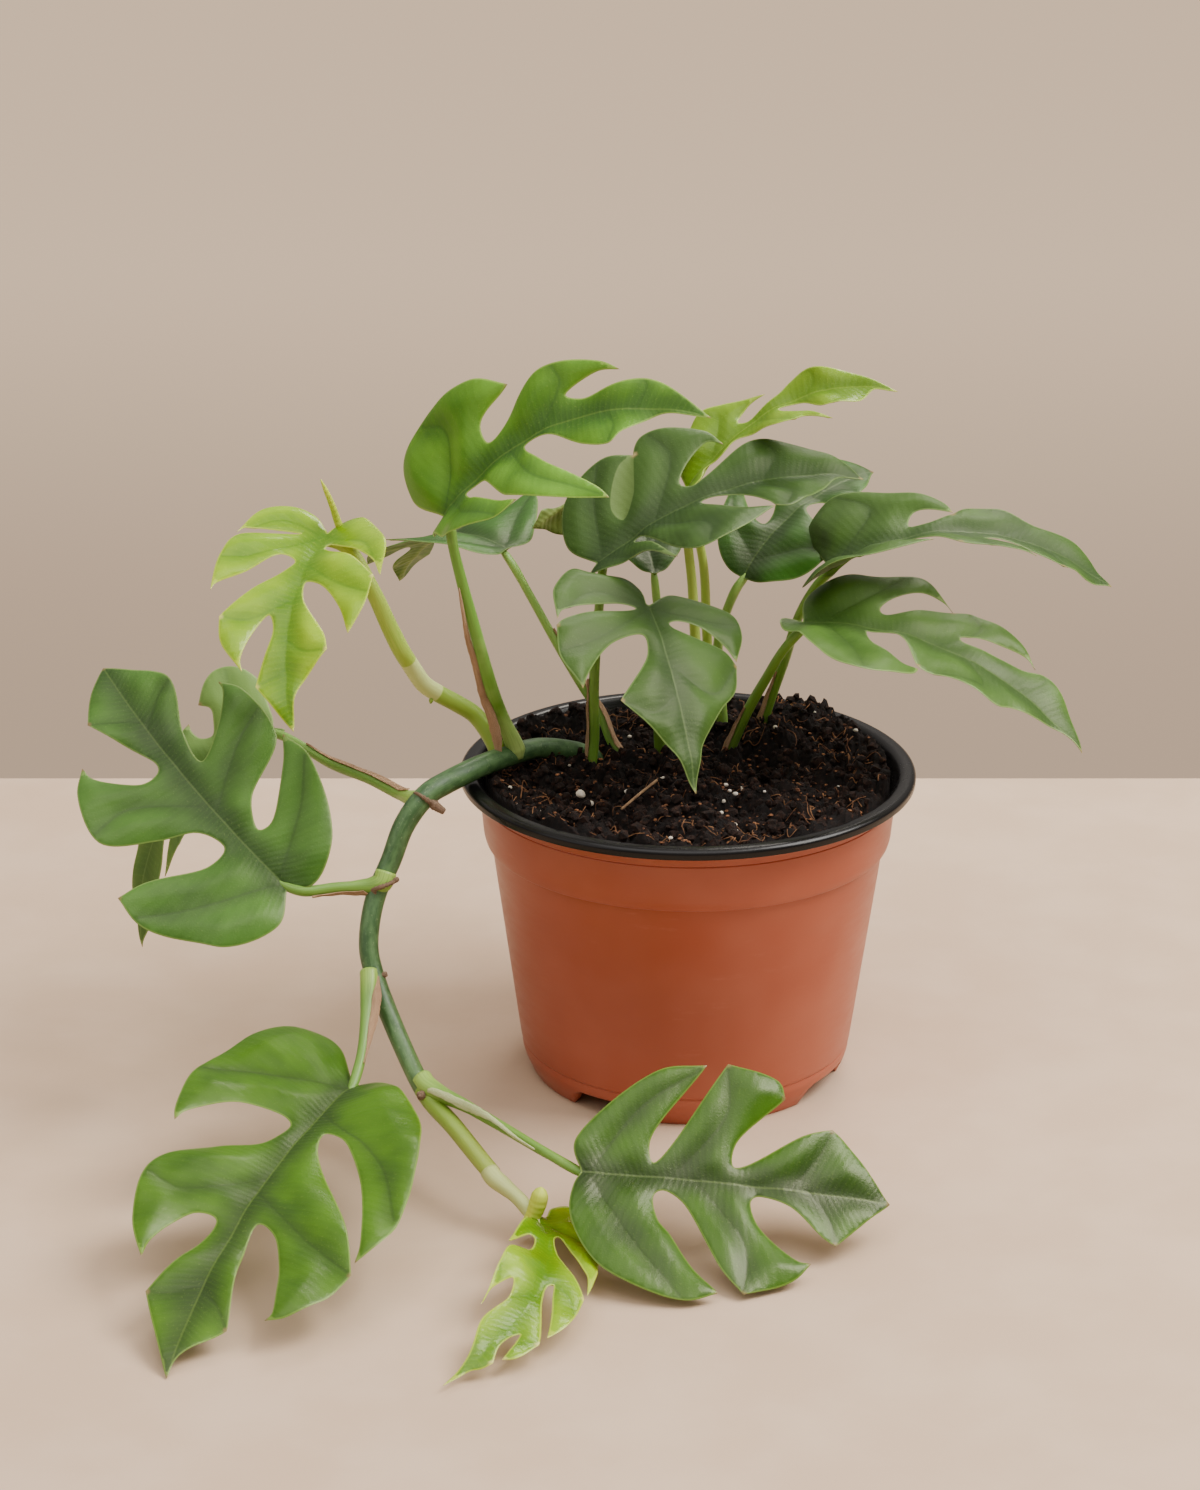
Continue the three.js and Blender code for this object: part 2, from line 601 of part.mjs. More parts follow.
    stalk: [[-102.5, -52, 52.5], [-102, -59.5, 48], [-102.5, -70, 42], [-104.5, -82, 34.5]],
  },
  {
    name: "leaf_vine_lower_right",
    onVine: true,
    slot: "leaf_green",
    outline: outlineM,
    pose: { base: [-34.5, -132, 24.5], heading: 92, pitch: -2.5, roll: 34.5, length: 94.5 },
    shape: { droop: 12, fold: 9, twist: 1, bow: 0 },
    stalk: [[-84, -82, 26.5], [-76, -89, 25.5], [-60, -105.5, 24.5], [-40, -127, 23]],
  },
  {
    name: "leaf_young_left",
    onVine: true,
    slot: "leaf_young",
    outline: outlineI,
    pose: { base: [-116, -5, 186.5], heading: -172.5, pitch: -19, roll: 2.5, length: 77.5 },
    shape: { droop: 33, fold: 12, twist: 4, bow: -6 },
    foot: 2.8,
    stalk: [
      [-62.5, 0, 110], [-66.5, 4, 116.5], [-70.5, 3, 122], [-76, 1, 126.5], [-84.5, -2, 131.5],
      [-89, -5, 138], [-92.5, -7, 148], [-102, -7, 170], [-110, -5, 182],
    ],
  },
  {
    name: "leaf_young_low",
    onVine: true,
    slot: "leaf_young",
    outline: outlineN,
    pose: { base: [-48.5, -129, 9], heading: -172, pitch: 15.5, roll: -21, length: 94.5 },
    shape: { droop: 42, fold: 12, twist: 8, bow: 12 },
    stalk: [[-61, -118, 14.5], [-57, -122, 12], [-52, -127, 9.5]],
  },
];

const stalkSteps = (path) => Math.ceil(path.getLength() / 8);

// The stalk goes on under the blade as the root of its midrib.
function stalkPath(leaf) {
  const surface = bladeSurface(leaf);
  const under = [[3, 1.5], [9, 1.2], [16, 0.6]].map(([u, depth]) =>
    surface(u, 0).addScaledVector(surfaceNormal(surface, u, 0), -depth));
  return smoothPath([...leaf.stalk.map(vector), ...under]);
}

function stalk(leaf, margin = 0) {
  const path = stalkPath(leaf);
  const foot = leaf.foot ?? STALK_FOOT_RADIUS;
  const radiusAt = (t) => THREE.MathUtils.lerp(foot, STALK_TOP_RADIUS, t) + margin;
  return tube(path, radiusAt, STALK_SIDES, stalkSteps(path));
}

// ---- The vine ----

const vinePath = smoothPath(
  [
    [-22, 22, 86],
    [-25, 23, 96.5],
    [-30, 19.5, 100],
    [-37, 15.5, 104.5],
    [-49, 8.5, 108.5],
    [-58.5, -1.5, 109.5],
    [-66.5, -12, 110.5],
    [-74, -19.5, 109.5],
    [-79, -23, 108],
    [-83.5, -26.5, 106.5],
    [-87.5, -30, 103.5],
    [-92, -33, 97],
    [-96, -36.5, 87],
    [-100.5, -40.5, 77.5],
    [-102.5, -45, 69.5],
    [-103, -49, 61],
    [-101.5, -52, 54.5],
    [-96.5, -60, 44],
    [-84, -82, 26.5],
    [-74, -97, 21.5],
    [-62, -115, 15],
  ].map(vector),
);
const VINE_RADIUS = 3.4;
const VINE_END_RADIUS = 2.5;
const VINE_SWELL = 0.4; // where it bends over the rim
const SWELL_AT = 0.35; // of its length
const VINE_STEPS = 42;

function vineRadius(t) {
  const swell = VINE_SWELL * Math.exp(-(((t - SWELL_AT) / 0.12) ** 2));
  return THREE.MathUtils.lerp(VINE_RADIUS, VINE_END_RADIUS, t * t) + swell;
}

const vine = (margin = 0) => tube(vinePath, (t) => vineRadius(t) + margin, VINE_SIDES, VINE_STEPS);

// ---- Extra growth on the young leaves ----

// The next leaf, still rolled, stands up out of the young shoot as a thin spear.
function spear() {
  const points = [[-102, -7, 170], [-109, -7.5, 182], [-111.5, -8, 190.5], [-117, -8, 204.5]];
  const path = smoothPath(points.map(vector));
  return tube(path, (t) => THREE.MathUtils.lerp(2, 0.6, t), STALK_SIDES, 6);
}

// A blunt bud stands beside the youngest leaf at the end of the vine.
function bud() {
  const path = smoothPath([[-54, -126, 10], [-49, -129.5, 12.5], [-47, -130, 18]].map(vector));
  return tube(path, (t) => 1.2 + 1.2 * Math.sin(Math.PI * Math.min(t, 0.9)), STALK_SIDES, 6);
}

const growth = { leaf_young_left: spear, leaf_young_low: bud };

function wholeLeaf(leaf) {
  const grown = blade(leaf).add(stalk(leaf));
  const extra = growth[leaf.name];
  return extra ? grown.add(extra()) : grown;
}

// ---- Sheaths ----

// A thin scale wraps part of a stalk. from and to are shares of the stalk's length, and the scale's
// middle faces the given direction.
const BROWN = "sheath_brown";
const PALE = "sheath_pale";
const sheaths = [
  { of: "leaf_tall_left", from: 0.1, to: 0.55, facing: [-1, -0.4, 0], slot: BROWN },
  { of: "leaf_middle", from: 0.22, to: 0.55, facing: [-1, -0.2, 0], slot: BROWN },
  { of: "leaf_upper_right", from: 0.25, to: 0.52, facing: [-1, -0.6, 0], slot: BROWN },
  { of: "leaf_lower_right", from: 0.24, to: 0.5, facing: [-1, 0, 0], slot: BROWN },
  { of: "leaf_back_left", from: 0.2, to: 0.68, facing: [1, -0.6, 0], slot: BROWN },
  { of: "leaf_vine_back", from: 0.16, to: 0.5, facing: [0, -0.6, 1], slot: BROWN },
  { of: "leaf_vine_lower_left", from: 0.4, to: 0.66, facing: [1, -0.4, 0], slot: BROWN },
  { of: "leaf_vine_lower_right", from: 0.14, to: 0.6, facing: [0.2, -0.2, 1], slot: PALE },
];
const SHEATH_STEPS = 6;

function sheath({ of, from, to, facing }) {
  const leaf = leaves.find(({ name }) => name === of);
  const stretch = Array.from({ length: SHEATH_STEPS + 1 }, (_, i) =>
    stalkPath(leaf).getPointAt(THREE.MathUtils.lerp(from, to, i / SHEATH_STEPS)));
  const path = smoothPath(stretch);
  const frames = path.computeFrenetFrames(SHEATH_STEPS, false);
  const [normal, binormal] = [frames.normals[SHEATH_STEPS / 2], frames.binormals[SHEATH_STEPS / 2]];
  const middle = Math.atan2(vector(facing).dot(binormal), vector(facing).dot(normal));
  const reach = radians(SHEATH_ARC / 2);
  const inside = THREE.MathUtils.lerp(STALK_FOOT_RADIUS, STALK_TOP_RADIUS, from) + CLEARANCE;
  const section = new THREE.Shape();
  section.absarc(0, 0, inside + SHEATH_THICKNESS, middle - reach, middle + reach, false);
  section.absarc(0, 0, inside, middle + reach, middle - reach, true);
  return solid(
    new THREE.ExtrudeGeometry(section, {
      steps: SHEATH_STEPS,
      extrudePath: path,
      curveSegments: 2,
      bevelEnabled: false,
    }),
  );
}

// ---- Pot ----

const shellInside = shellOutside.map(([radius, height]) => [radius - WALL, height]);

// The terracotta shell: a foot ring, a raised floor with a small pad that stands at the centre, a
// tapering body, a collar, and a narrow flange that the lining hooks over.
const shellProfile = [
  [0, 0],
  [10, 0],
  [11, 0.8],
  [12.5, FLOOR_HEIGHT],
  [51.6, FLOOR_HEIGHT],
  [50.6, 0],
  [52, 0],
  [52.6, 0.8],
  [54.3, 5],
  [55.2, 8],
  [55.2, 10],
  ...shellOutside,
  [69.5, 100.6],
  [70.5, 102.2],
  [73.6, 102.9],
  [73.6, 103.8],
  [71, 103.8],
  [69.8, 102.9],
  [68.6, 100.6],
  ...shellInside.toReversed(),
  [54, FLOOR_HEIGHT + WALL],
  [0, FLOOR_HEIGHT + WALL],
];

// The black lining: it follows the shell, and its rolled lip hooks over the flange.
const LINING_FLOOR = FLOOR_HEIGHT + WALL + CLEARANCE;
const liningWall = (inset) =>
  shellOutside.map(([radius, height]) => [radius - WALL - inset, height]);
const liningProfile = [
  [0, LINING_FLOOR],
  [53, LINING_FLOOR],
  ...liningWall(CLEARANCE),
  [68.5, 102.6],
  [70.6, 104.8],
  [73.2, 104.9],
  [74.2, 104.2],
  [74.2, 102.4],
  [RIM_RADIUS, 102.4],
  [RIM_RADIUS, 104.7],
  [74.4, 105.4],
  [73.3, RIM_HEIGHT],
  [70.5, RIM_HEIGHT],
  [67.7, 102.6],
  ...liningWall(CLEARANCE + LINING).toReversed(),
  [52.6, LINING_FLOOR + LINING],
  [0, LINING_FLOOR + LINING],
];

// A gap between two feet, with sloping ends, as a cutter that reaches through the foot ring at the front.
const NOTCH_HALF_WIDTH = 15;
const NOTCH_TOP_HALF_WIDTH = 8;
const NOTCH_TOP = 6.7;
const NOTCH_REACH = [44, 58]; // from the pot's axis

function notch() {
  const [inner, outer] = NOTCH_REACH;
  const side = NOTCH_HALF_WIDTH - 3;
  const shape = new THREE.Shape();
  shape.moveTo(-NOTCH_HALF_WIDTH, -1);
  shape.lineTo(NOTCH_HALF_WIDTH, -1);
  shape.bezierCurveTo(side, 1, side, NOTCH_TOP, NOTCH_TOP_HALF_WIDTH, NOTCH_TOP);
  shape.lineTo(-NOTCH_TOP_HALF_WIDTH, NOTCH_TOP);
  shape.bezierCurveTo(-side, NOTCH_TOP, -side, 1, -NOTCH_HALF_WIDTH, -1);
  return new THREE.ExtrudeGeometry(shape, { depth: outer - inner, curveSegments: 4, bevelEnabled: false })
    .rotateX(Math.PI / 2)
    .translate(0, -inner, 0);
}

// A cutter for one drain hole through both floors.
function drain() {
  const depth = 8;
  const sides = 12;
  return new THREE.CylinderGeometry(DRAIN_RADIUS, DRAIN_RADIUS, depth, sides)
    .rotateX(Math.PI / 2)
    .translate(0, -DRAIN_CIRCLE, LINING_FLOOR);
}

// Cuts one copy of a geometry at each notch.
function cutAtNotches(body, makeCutter) {
  let result = body;
  for (let i = 0; i < FOOT_NOTCHES; i++) {
    const turn = radians(FIRST_NOTCH + (360 * i) / FOOT_NOTCHES);
    result = result.subtract(solid(makeCutter().rotateZ(turn)));
  }
  return result;
}

const shell = () => cutAtNotches(cutAtNotches(turned(shellProfile), notch), drain);
const lining = () => cutAtNotches(turned(liningProfile), drain);

// ---- Soil ----

const SOIL_INSET = WALL + CLEARANCE + LINING + CLEARANCE;
const SOIL_EDGE = 66.2;
const SOIL_RINGS = 5;

// Loose compost: lumps all over, a heap behind on the right and a hollow in front of it.
const HEAP = { x: 35, y: 37, height: 9, spread: 15 };
const HOLLOW = { x: 26, y: 8, height: -6, spread: 11 };
const LUMP = 1.3;
const CRUMB = 0.9;

function mound({ x, y, height, spread }, atX, atY) {
  return height * Math.exp(-((atX - x) ** 2 + (atY - y) ** 2) / spread ** 2);
}

function soilHeight(x, y) {
  const lumps = LUMP * Math.sin(x / 7 + 1) * Math.cos(y / 8) + CRUMB * Math.sin((x + 1.7 * y) / 5);
  return SOIL_LEVEL + lumps + mound(HEAP, x, y) + mound(HOLLOW, x, y);
}

function soil() {
  const profile = [[0, LINING_FLOOR + LINING + CLEARANCE]];
  for (const [radius, height] of shellOutside.slice(0, -1)) profile.push([radius - SOIL_INSET, height]);
  for (let ring = SOIL_RINGS; ring >= 0; ring--) profile.push([(SOIL_EDGE * ring) / SOIL_RINGS, SOIL_LEVEL]);
  const points = profile.map(([radius, height]) => new THREE.Vector2(radius, height));
  const geometry = new THREE.LatheGeometry(points, POT_SEGMENTS).rotateX(Math.PI / 2);
  const position = geometry.attributes.position;
  for (let i = 0; i < position.count; i++) {
    const [x, y, z] = [position.getX(i), position.getY(i), position.getZ(i)];
    if (z > SOIL_LEVEL - 1) position.setZ(i, soilHeight(x, y));
  }
  return solid(geometry);
}

// ---- The whole plant in its pot ----

const materials = {
  leaf_bright: finish(0x4f8a2c, 0.4),
  leaf_green: finish(0x4a7440, 0.4),
  leaf_dark: finish(0x37582a, 0.45),
  leaf_young: finish(0x94b232, 0.4),
  vine_green: finish(0x4c6b42, 0.5),
  sheath_brown: finish(0xa9805a, 0.8),
  sheath_pale: finish(0xb9c98a, 0.6),
  pot_terracotta: finish(0xaf583c, 0.45),
  pot_black: finish(0x2a2a2d, 0.4),
  soil: finish(0x2f211a, 0.95),
};

const root = new THREE.Group();
root.name = "mini_monstera";
const place = (name, body, slot) => root.add(meshOf(name, body, materials[slot]));

const stalks = leaves.map((leaf) => stalk(leaf, CLEARANCE));
const vineRoom = vine(CLEARANCE);

place("pot_shell", shell(), "pot_terracotta");
place("pot_lining", lining(), "pot_black");
place("soil", stalks.reduce((body, room) => body.subtract(room), soil().subtract(vineRoom)), "soil");
place("vine", vine(), "vine_green");
for (const leaf of leaves) {
  const grown = wholeLeaf(leaf);
  place(leaf.name, leaf.onVine ? grown.subtract(vineRoom) : grown, leaf.slot);
}
for (const scale of sheaths) place(scale.of.replace("leaf", "sheath"), sheath(scale), scale.slot);

export default root;
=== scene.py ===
import itertools
import math
import random

import bmesh
import bpy
import numpy as np
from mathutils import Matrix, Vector, geometry, noise


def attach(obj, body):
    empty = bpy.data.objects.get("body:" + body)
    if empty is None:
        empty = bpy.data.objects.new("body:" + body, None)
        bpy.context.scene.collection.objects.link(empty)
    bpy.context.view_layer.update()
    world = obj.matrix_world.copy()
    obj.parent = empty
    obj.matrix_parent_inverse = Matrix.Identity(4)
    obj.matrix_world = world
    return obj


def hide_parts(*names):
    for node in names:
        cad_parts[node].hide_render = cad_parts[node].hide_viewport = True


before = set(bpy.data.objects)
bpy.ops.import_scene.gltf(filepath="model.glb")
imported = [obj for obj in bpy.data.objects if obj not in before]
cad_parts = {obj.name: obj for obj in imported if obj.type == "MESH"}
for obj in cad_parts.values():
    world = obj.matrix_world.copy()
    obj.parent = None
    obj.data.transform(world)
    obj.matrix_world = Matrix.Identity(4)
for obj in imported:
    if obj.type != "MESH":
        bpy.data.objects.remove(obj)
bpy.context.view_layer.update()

MM = 0.001
SEED = 7
FULL_TURN = 2 * math.pi

# ---- The tables of the plant ----

STALK_FOOT_RADIUS = 2.15
STALK_TOP_RADIUS = 1.25

PLAIN_STALK = [[0, STALK_FOOT_RADIUS]]

LEAVES = []


def leaf(name, slot, face, back, base, pose, shape, stalk, left, right, radii=PLAIN_STALK, scale=1):
    """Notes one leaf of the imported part: a blade, and a stalk from the soil or the vine up to it.

    face, back    the looks of the upper face and the underside
    base          where the blade starts
    pose          its heading, pitch, roll and length
    shape         its droop, fold and twist, and its bow to one side
    left, right   each half of the outline from the stalk to the tip, as stretches of smooth edge between
                  angles, where a point is [along the midrib, out from it]
    radii         [distance from the foot, radius] along the stalk, before its top
    """
    heading, pitch, roll, length = pose
    droop, fold, twist, bow = shape
    LEAVES.append({
        "name": name, "slot": slot, "face": face, "back": back, "base": base, "heading": heading,
        "pitch": pitch, "roll": roll, "length": length, "droop": droop, "fold": fold, "twist": twist,
        "bow": bow, "stalk": stalk, "right": right, "left": left, "radii": radii, "scale": scale,
    })


leaf(
    "tall_left", "bright", "bright", "bright",
    base=[-78.5, -15, 195.5], pose=(128.5, 40.5, 47.5, 100.5), shape=(43, 19, 12, 10),
    stalk=[
        [-55.3, -2.6, 108.6], [-56.5, -1.6, 112], [-58, -2.4, 116.3], [-61.5, -4.5, 125.5], [-64, -9, 135],
        [-68.5, -14, 155.5], [-73, -14.5, 174], [-76, -14.5, 189],
    ],
    left=[
        [[-13, 19], [-10, 33.5], [20.5, 30.5], [34.5, 20.5]],
        [[22, 15], [23, 8], [26, 7], [47, 19], [67, 16], [73.5, 12.5]],
        [[65.5, 13], [54, 8.5], [59.5, 6], [82, 9.5], [100.5, 0]],
    ],
    right=[
        [[-7, -1], [1, 9.5], [11.5, 21.5], [33.5, 31.5], [41.5, 30]],
        [[23, 15.5], [12, 2.5], [12.5, 2], [19.5, 4], [35.5, 23], [50, 33], [72.5, 38]],
        [[68.5, 33], [47.5, 15], [37.5, 2], [47, 3], [60.5, 11.5], [70, 14.5], [73.5, 10.5], [84, 2],
         [94, 1], [100.5, 0]],
    ],
    radii=[[0, 1.2], [3, 3.1], [6, 3.0], [13, 2.45], [30, 2.35]],
)
leaf(
    "middle", "green", "muted", "grey",
    base=[-29.5, 9, 172], pose=(82, 33.5, 16.5, 95), shape=(40, 18, 5, 6),
    stalk=[
        [-33, 13, 84], [-32, 12, 100.5], [-31, 12.5, 110], [-31, 12, 128], [-30, 11, 145.5],
        [-29, 9.5, 159.5],
    ],
    left=[
        [[-5.5, 14], [1, 28], [18, 32.5], [27.5, 27.5]],
        [[22, 26.5], [13, 14.5], [14.5, 8.5], [20.5, 13.5], [31.5, 32.5], [50.5, 25.5], [54.5, 18.5]],
        [[50, 21], [36, 9.5], [39.5, 6.5], [63, 17], [75, 14.5], [91, 5.5], [94.5, 0]],
    ],
    right=[
        [[-4, 2], [-0.5, 5.5], [14.5, 15.5], [22.5, 35]],
        [[18.5, 12.5], [14, 2], [16, 2], [29.5, 37.5], [39.5, 36.5], [57.5, 24.5]],
        [[49, 17.5], [39.5, 2], [51.5, 4.5], [57.5, 17.5], [58.5, 24], [62, 25.5], [88, 1], [94.5, 0]],
    ],
)
leaf(
    "front", "green", "grey", "grey",
    base=[-13, -5, 162.5], pose=(159, -27, -13.5, 69.5), shape=(31, -5, 1, -1),
    stalk=[
        [-7.5, 26, 84], [-8.5, 23, 98], [-9, 20, 109], [-10, 13, 127.5], [-11.5, 5, 147.5],
        [-12.5, -1, 158],
    ],
    left=[
        [[-6.5, 11.5], [-1, 32.5], [8, 33.5], [20.5, 27.5]],
        [[14.5, 24.5], [8.5, 17.5], [6, 8.5], [7.5, 5], [10, 5.5], [17, 24], [22.5, 27]],
        [[33, 23], [40.5, 15.5], [54.5, 5], [69.5, 0]],
    ],
    right=[
        [[-0.5, 1], [-7.5, 1], [-14, 5], [-16.5, 16.5], [-18.5, 21.5], [-8.5, 31.5], [6, 34.5]],
        [[2, 31.5], [-1.5, 11], [1, 5], [3, 22.5], [6.5, 32.5], [9, 35.5]],
        [[21.5, 37], [34, 32.5]],
        [[28.5, 29.5], [16, 17.5], [13.5, 6.5], [19.5, 6], [38, 20]],
        [[55.5, 6], [69.5, 0]],
    ],
)
leaf(
    "upper_right", "green", "grey", "green",
    base=[46.5, 22, 167], pose=(95, 34.5, 0, 99), shape=(75, 17, 12, 0),
    stalk=[[21, 39, 84], [23, 37, 95], [28, 35, 114], [33, 32, 131], [37.5, 29, 148], [43, 25, 160]],
    left=[
        [[-4.5, 28.5], [2.5, 34.5], [8, 35.5], [39, 15.5], [42, 10.5]],
        [[30, 12.5], [28, 6.5], [34.5, 5.5], [42, 9.5]],
        [[46, 13], [55, 13.5], [66, 10], [83.5, 8.5], [97, 0]],
    ],
    right=[
        [[-5, 3], [-8, 12], [-3, 23], [9, 29], [25, 28], [36, 22]],
        [[29, 18], [23, 8], [27, 4], [34, 8], [44, 19]],
        [[55, 20], [68, 17]],
        [[60, 12], [52, 6], [56, 4], [66, 9], [78, 12]],
        [[88, 7], [97, 0]],
    ],
    scale=1.02,
)
leaf(
    "lower_right", "green", "satin", "green",
    base=[37, 0, 155.5], pose=(107, 1, 7.5, 102), shape=(47, 11, 7, 5),
    stalk=[[9.5, 29, 84], [14, 22.5, 101], [19.5, 15.5, 117.5], [25.5, 9.5, 132], [32, 3, 146]],
    left=[
        [[-2, 13.5], [8.5, 27], [17, 28], [32, 28], [44, 19.5]],
        [[41, 21.5], [33, 21.5], [24.5, 17], [22, 11], [24.5, 8.5], [49, 21.5], [53, 21], [69, 19.5],
         [75.5, 14]],
        [[72, 16], [61, 13], [49.5, 9], [51.5, 7], [71.5, 10], [79, 13.5], [89, 10.5], [102, 0]],
    ],
    right=[
        [[-7, -1.5], [-4.5, 7], [-1.5, 9.5], [10.5, 26.5], [28, 41.5], [36.5, 35], [41, 27.5],
         [41.8, 21.6]],
        [[36.5, 25], [27, 15], [21, 2], [22.5, 2], [30.5, 2], [41, 19.5]],
        [[45.5, 20], [50, 19], [62.5, 19.5], [69.5, 17.5], [73.5, 13], [79, 9.5], [92.5, 1], [102, 0]],
    ],
)
leaf(
    "back_right", "dark", "dark", "dark",
    base=[19, 40, 158], pose=(45, 29, 8.5, 72.5), shape=(22, 11, 4, 5),
    stalk=[
        [13, 44, 84], [13, 43.5, 102], [12, 42.5, 117], [11, 41.5, 133.5], [13, 41, 143], [17, 40, 154],
    ],
    left=[
        [[0.5, 6.5], [8.5, 15], [36.5, 26]],
        [[23.5, 8.5], [23.5, 5], [30, 5.5], [44.5, 13.5], [61, 18], [69, 10.5], [72.5, 0]],
    ],
    right=[
        [[0, 9.5], [11.5, 25.5], [23, 27.5], [33, 24.5]],
        [[30, 22.5], [37.5, 3], [44, 3], [46.5, 6.5], [51, 10.5]],
        [[56.5, 10.5], [72.5, 0]],
    ],
)
leaf(
    "young_top", "young", "fresh", "young",
    base=[-0.5, 34, 190.5], pose=(90, 33, 12, 76.5), shape=(16, 21, 17, 16),
    stalk=[[5.5, 40.5, 84], [5, 38.5, 104], [4, 36.5, 122.5], [2, 35, 155], [0, 34.5, 179]],
    left=[
        [[1, 10.5], [12.5, 18.5], [21.5, 15], [31, 9.5], [36, 7]],
        [[29, 7.5], [24, 5], [27, 2.5], [33, 3], [40, 5], [45, 8], [52, 10], [66.5, 5.5], [76.5, 0]],
    ],
    right=[
        [[3, 8.5], [6, 7.5], [8.5, 2], [16, 4.5], [21, 3], [30.5, 10], [36.5, 16], [41.5, 16],
         [45.5, 14.5], [53.5, 25]],
        [[47, 10], [39, 4.5], [38.5, 2], [46, 2.5], [52.5, 11.5], [58.5, 11.5], [64, 8.5], [70, 1],
         [73.5, 0.5], [76.5, 0]],
    ],
)
leaf(
    "back_left", "dark", "dark", "dark",
    base=[-60, 40, 167.5], pose=(-47.5, 17, 0, 61.5), shape=(80, 10, 0, 0),
    stalk=[
        [-14, 19, 84], [-19, 19, 97], [-25, 21, 106], [-29, 23.5, 115.5], [-34.5, 26, 123.5],
        [-42.5, 30, 136], [-51.5, 35, 151.5], [-58.5, 39, 163],
    ],
    left=[
        [[-2, 7], [3, 16], [10, 22], [18, 28], [24, 32]],
        [[22, 24], [21, 16], [23, 10], [27, 9], [34, 16], [44, 22], [50, 19]],
        [[46, 13], [41, 8], [43, 5], [50, 8], [61.5, 0]],
    ],
    right=[
        [[-1, 9], [4, 17], [11, 26], [18, 34], [23, 38], [26, 36]],
        [[24, 28], [22, 18], [23, 12], [27, 9], [31, 12], [36, 22], [42, 27], [47, 24]],
        [[43, 17], [38, 9], [40, 6], [47, 9], [55, 9], [61.5, 0]],
    ],
    radii=[[0, 1.9], [30, 1.6]],
)
leaf(
    "behind", "dark", "dark", "dark",
    base=[-10.5, 40, 159], pose=(-8, 19.5, 0, 46), shape=(15, 10, 0, 0),
    stalk=[[-1, 33, 84], [-1, 32.5, 98], [-3.5, 32, 110], [-7, 36, 130], [-9.5, 39, 146.5]],
    left=[[[3, 4.5], [9, 9], [18, 12], [29, 11], [39, 6], [46, 0]]],
    right=[[[3, 4.5], [9, 9], [18, 12], [29, 11], [39, 6], [46, 0]]],
    radii=[[0, 1.5]],
)
leaf(
    "pale_back", "young", "young", "olive",
    base=[-17, 55, 191], pose=(-90.5, -21.5, 68.5, 40.5), shape=(30, 5, 0, 0),
    stalk=[[10, 50, 84], [9, 51, 103], [7.5, 52, 135], [5.5, 53.5, 162], [1, 54, 176], [-8, 54.5, 185]],
    left=[[[0, 2], [6, 5], [14, 4.5], [23, 1], [30, 1], [34.5, 3.5], [40.5, 0]]],
    right=[[[1, 10], [9, 16.5], [14, 11.5], [20, 13.5], [27, 13.5], [33.5, 8.5], [37, 3], [40.5, 0]]],
    radii=[[0, 1.9]],
)
leaf(
    # Its face and underside are painted paler: painted light shining through the thin leaf.
    "vine_back", "green", "hazy", "pale",
    base=[-139, 25, 109.5], pose=(-127.5, -30, -16, 89.5), shape=(55, 5, 0, -12),
    stalk=[
        [-86.2, -29.3, 105.4], [-89.2, -26.3, 104.2], [-93.8, -19, 102.8], [-98.6, -14, 103.3],
        [-104.2, -8.5, 104], [-118, 4.5, 104.5], [-135, 21, 108],
    ],
    left=[
        [[-2, 3], [3, 5], [12, 13.5], [20, 21], [29, 24.5], [37, 21.5]],
        [[29, 13], [24, 5], [28, 3], [38, 9], [48, 12], [56, 11.5], [62.5, 10]],
        [[51.5, 7.5], [44, 3.5], [46, 2], [54, 5.5], [64, 7.5], [74, 7.5], [89.5, 0]],
    ],
    right=[
        [[-2.5, 4], [-6.5, 14], [-10.5, 25], [-10.5, 32.5], [-8.5, 35.5], [-4.5, 35.5], [0.5, 32.5],
         [9, 24]],
        [[7.5, 20], [10.5, 14], [14.5, 9.5], [17.5, 11.5], [17.5, 16.5], [16, 19.5]],
        [[24, 17], [34, 13], [46, 9], [58.5, 6], [72.5, 5], [89.5, 0]],
    ],
    radii=[[0, 2.9], [5, 2.5], [12, 2.0]],
)
leaf(
    "vine_upper", "green", "green", "green",
    base=[-129, -45, 81], pose=(-49.5, 35, -35.5, 106.5), shape=(15, 8, 1, 3),
    stalk=[
        [-97.6, -38.4, 83.5], [-98.8, -40, 80.6], [-101.7, -40.2, 79.5], [-105.4, -40.4, 79.3],
        [-114, -42, 79.5], [-124, -44.5, 79.5],
    ],
    left=[
        [[-9, 11], [-5.5, 28], [1.5, 33.5], [17.5, 43], [28.5, 42.5]],
        [[28, 33.5], [21, 13], [23.5, 5.5], [33, 9], [38.5, 20], [49, 35], [68.5, 31], [76.5, 24.5]],
        [[71, 24], [58.5, 12.5], [59, 6], [62.5, 4.5], [89, 15]],
        [[98, 9.5], [106.5, 0]],
    ],
    right=[
        [[-4.5, 6], [3, 21], [30, 34.5], [42.5, 33]],
        [[33.5, 26.5], [20.5, 10.5], [21.5, 6.5], [31.5, 12], [43.5, 31], [64, 32.5], [73, 28]],
        [[69, 27.5], [60, 20], [53, 7.5], [67.5, 9], [86, 16], [106.5, 0]],
    ],
    radii=[[0, 3.5], [4.5, 3.5], [9, 2.5], [14, 1.9]],
)
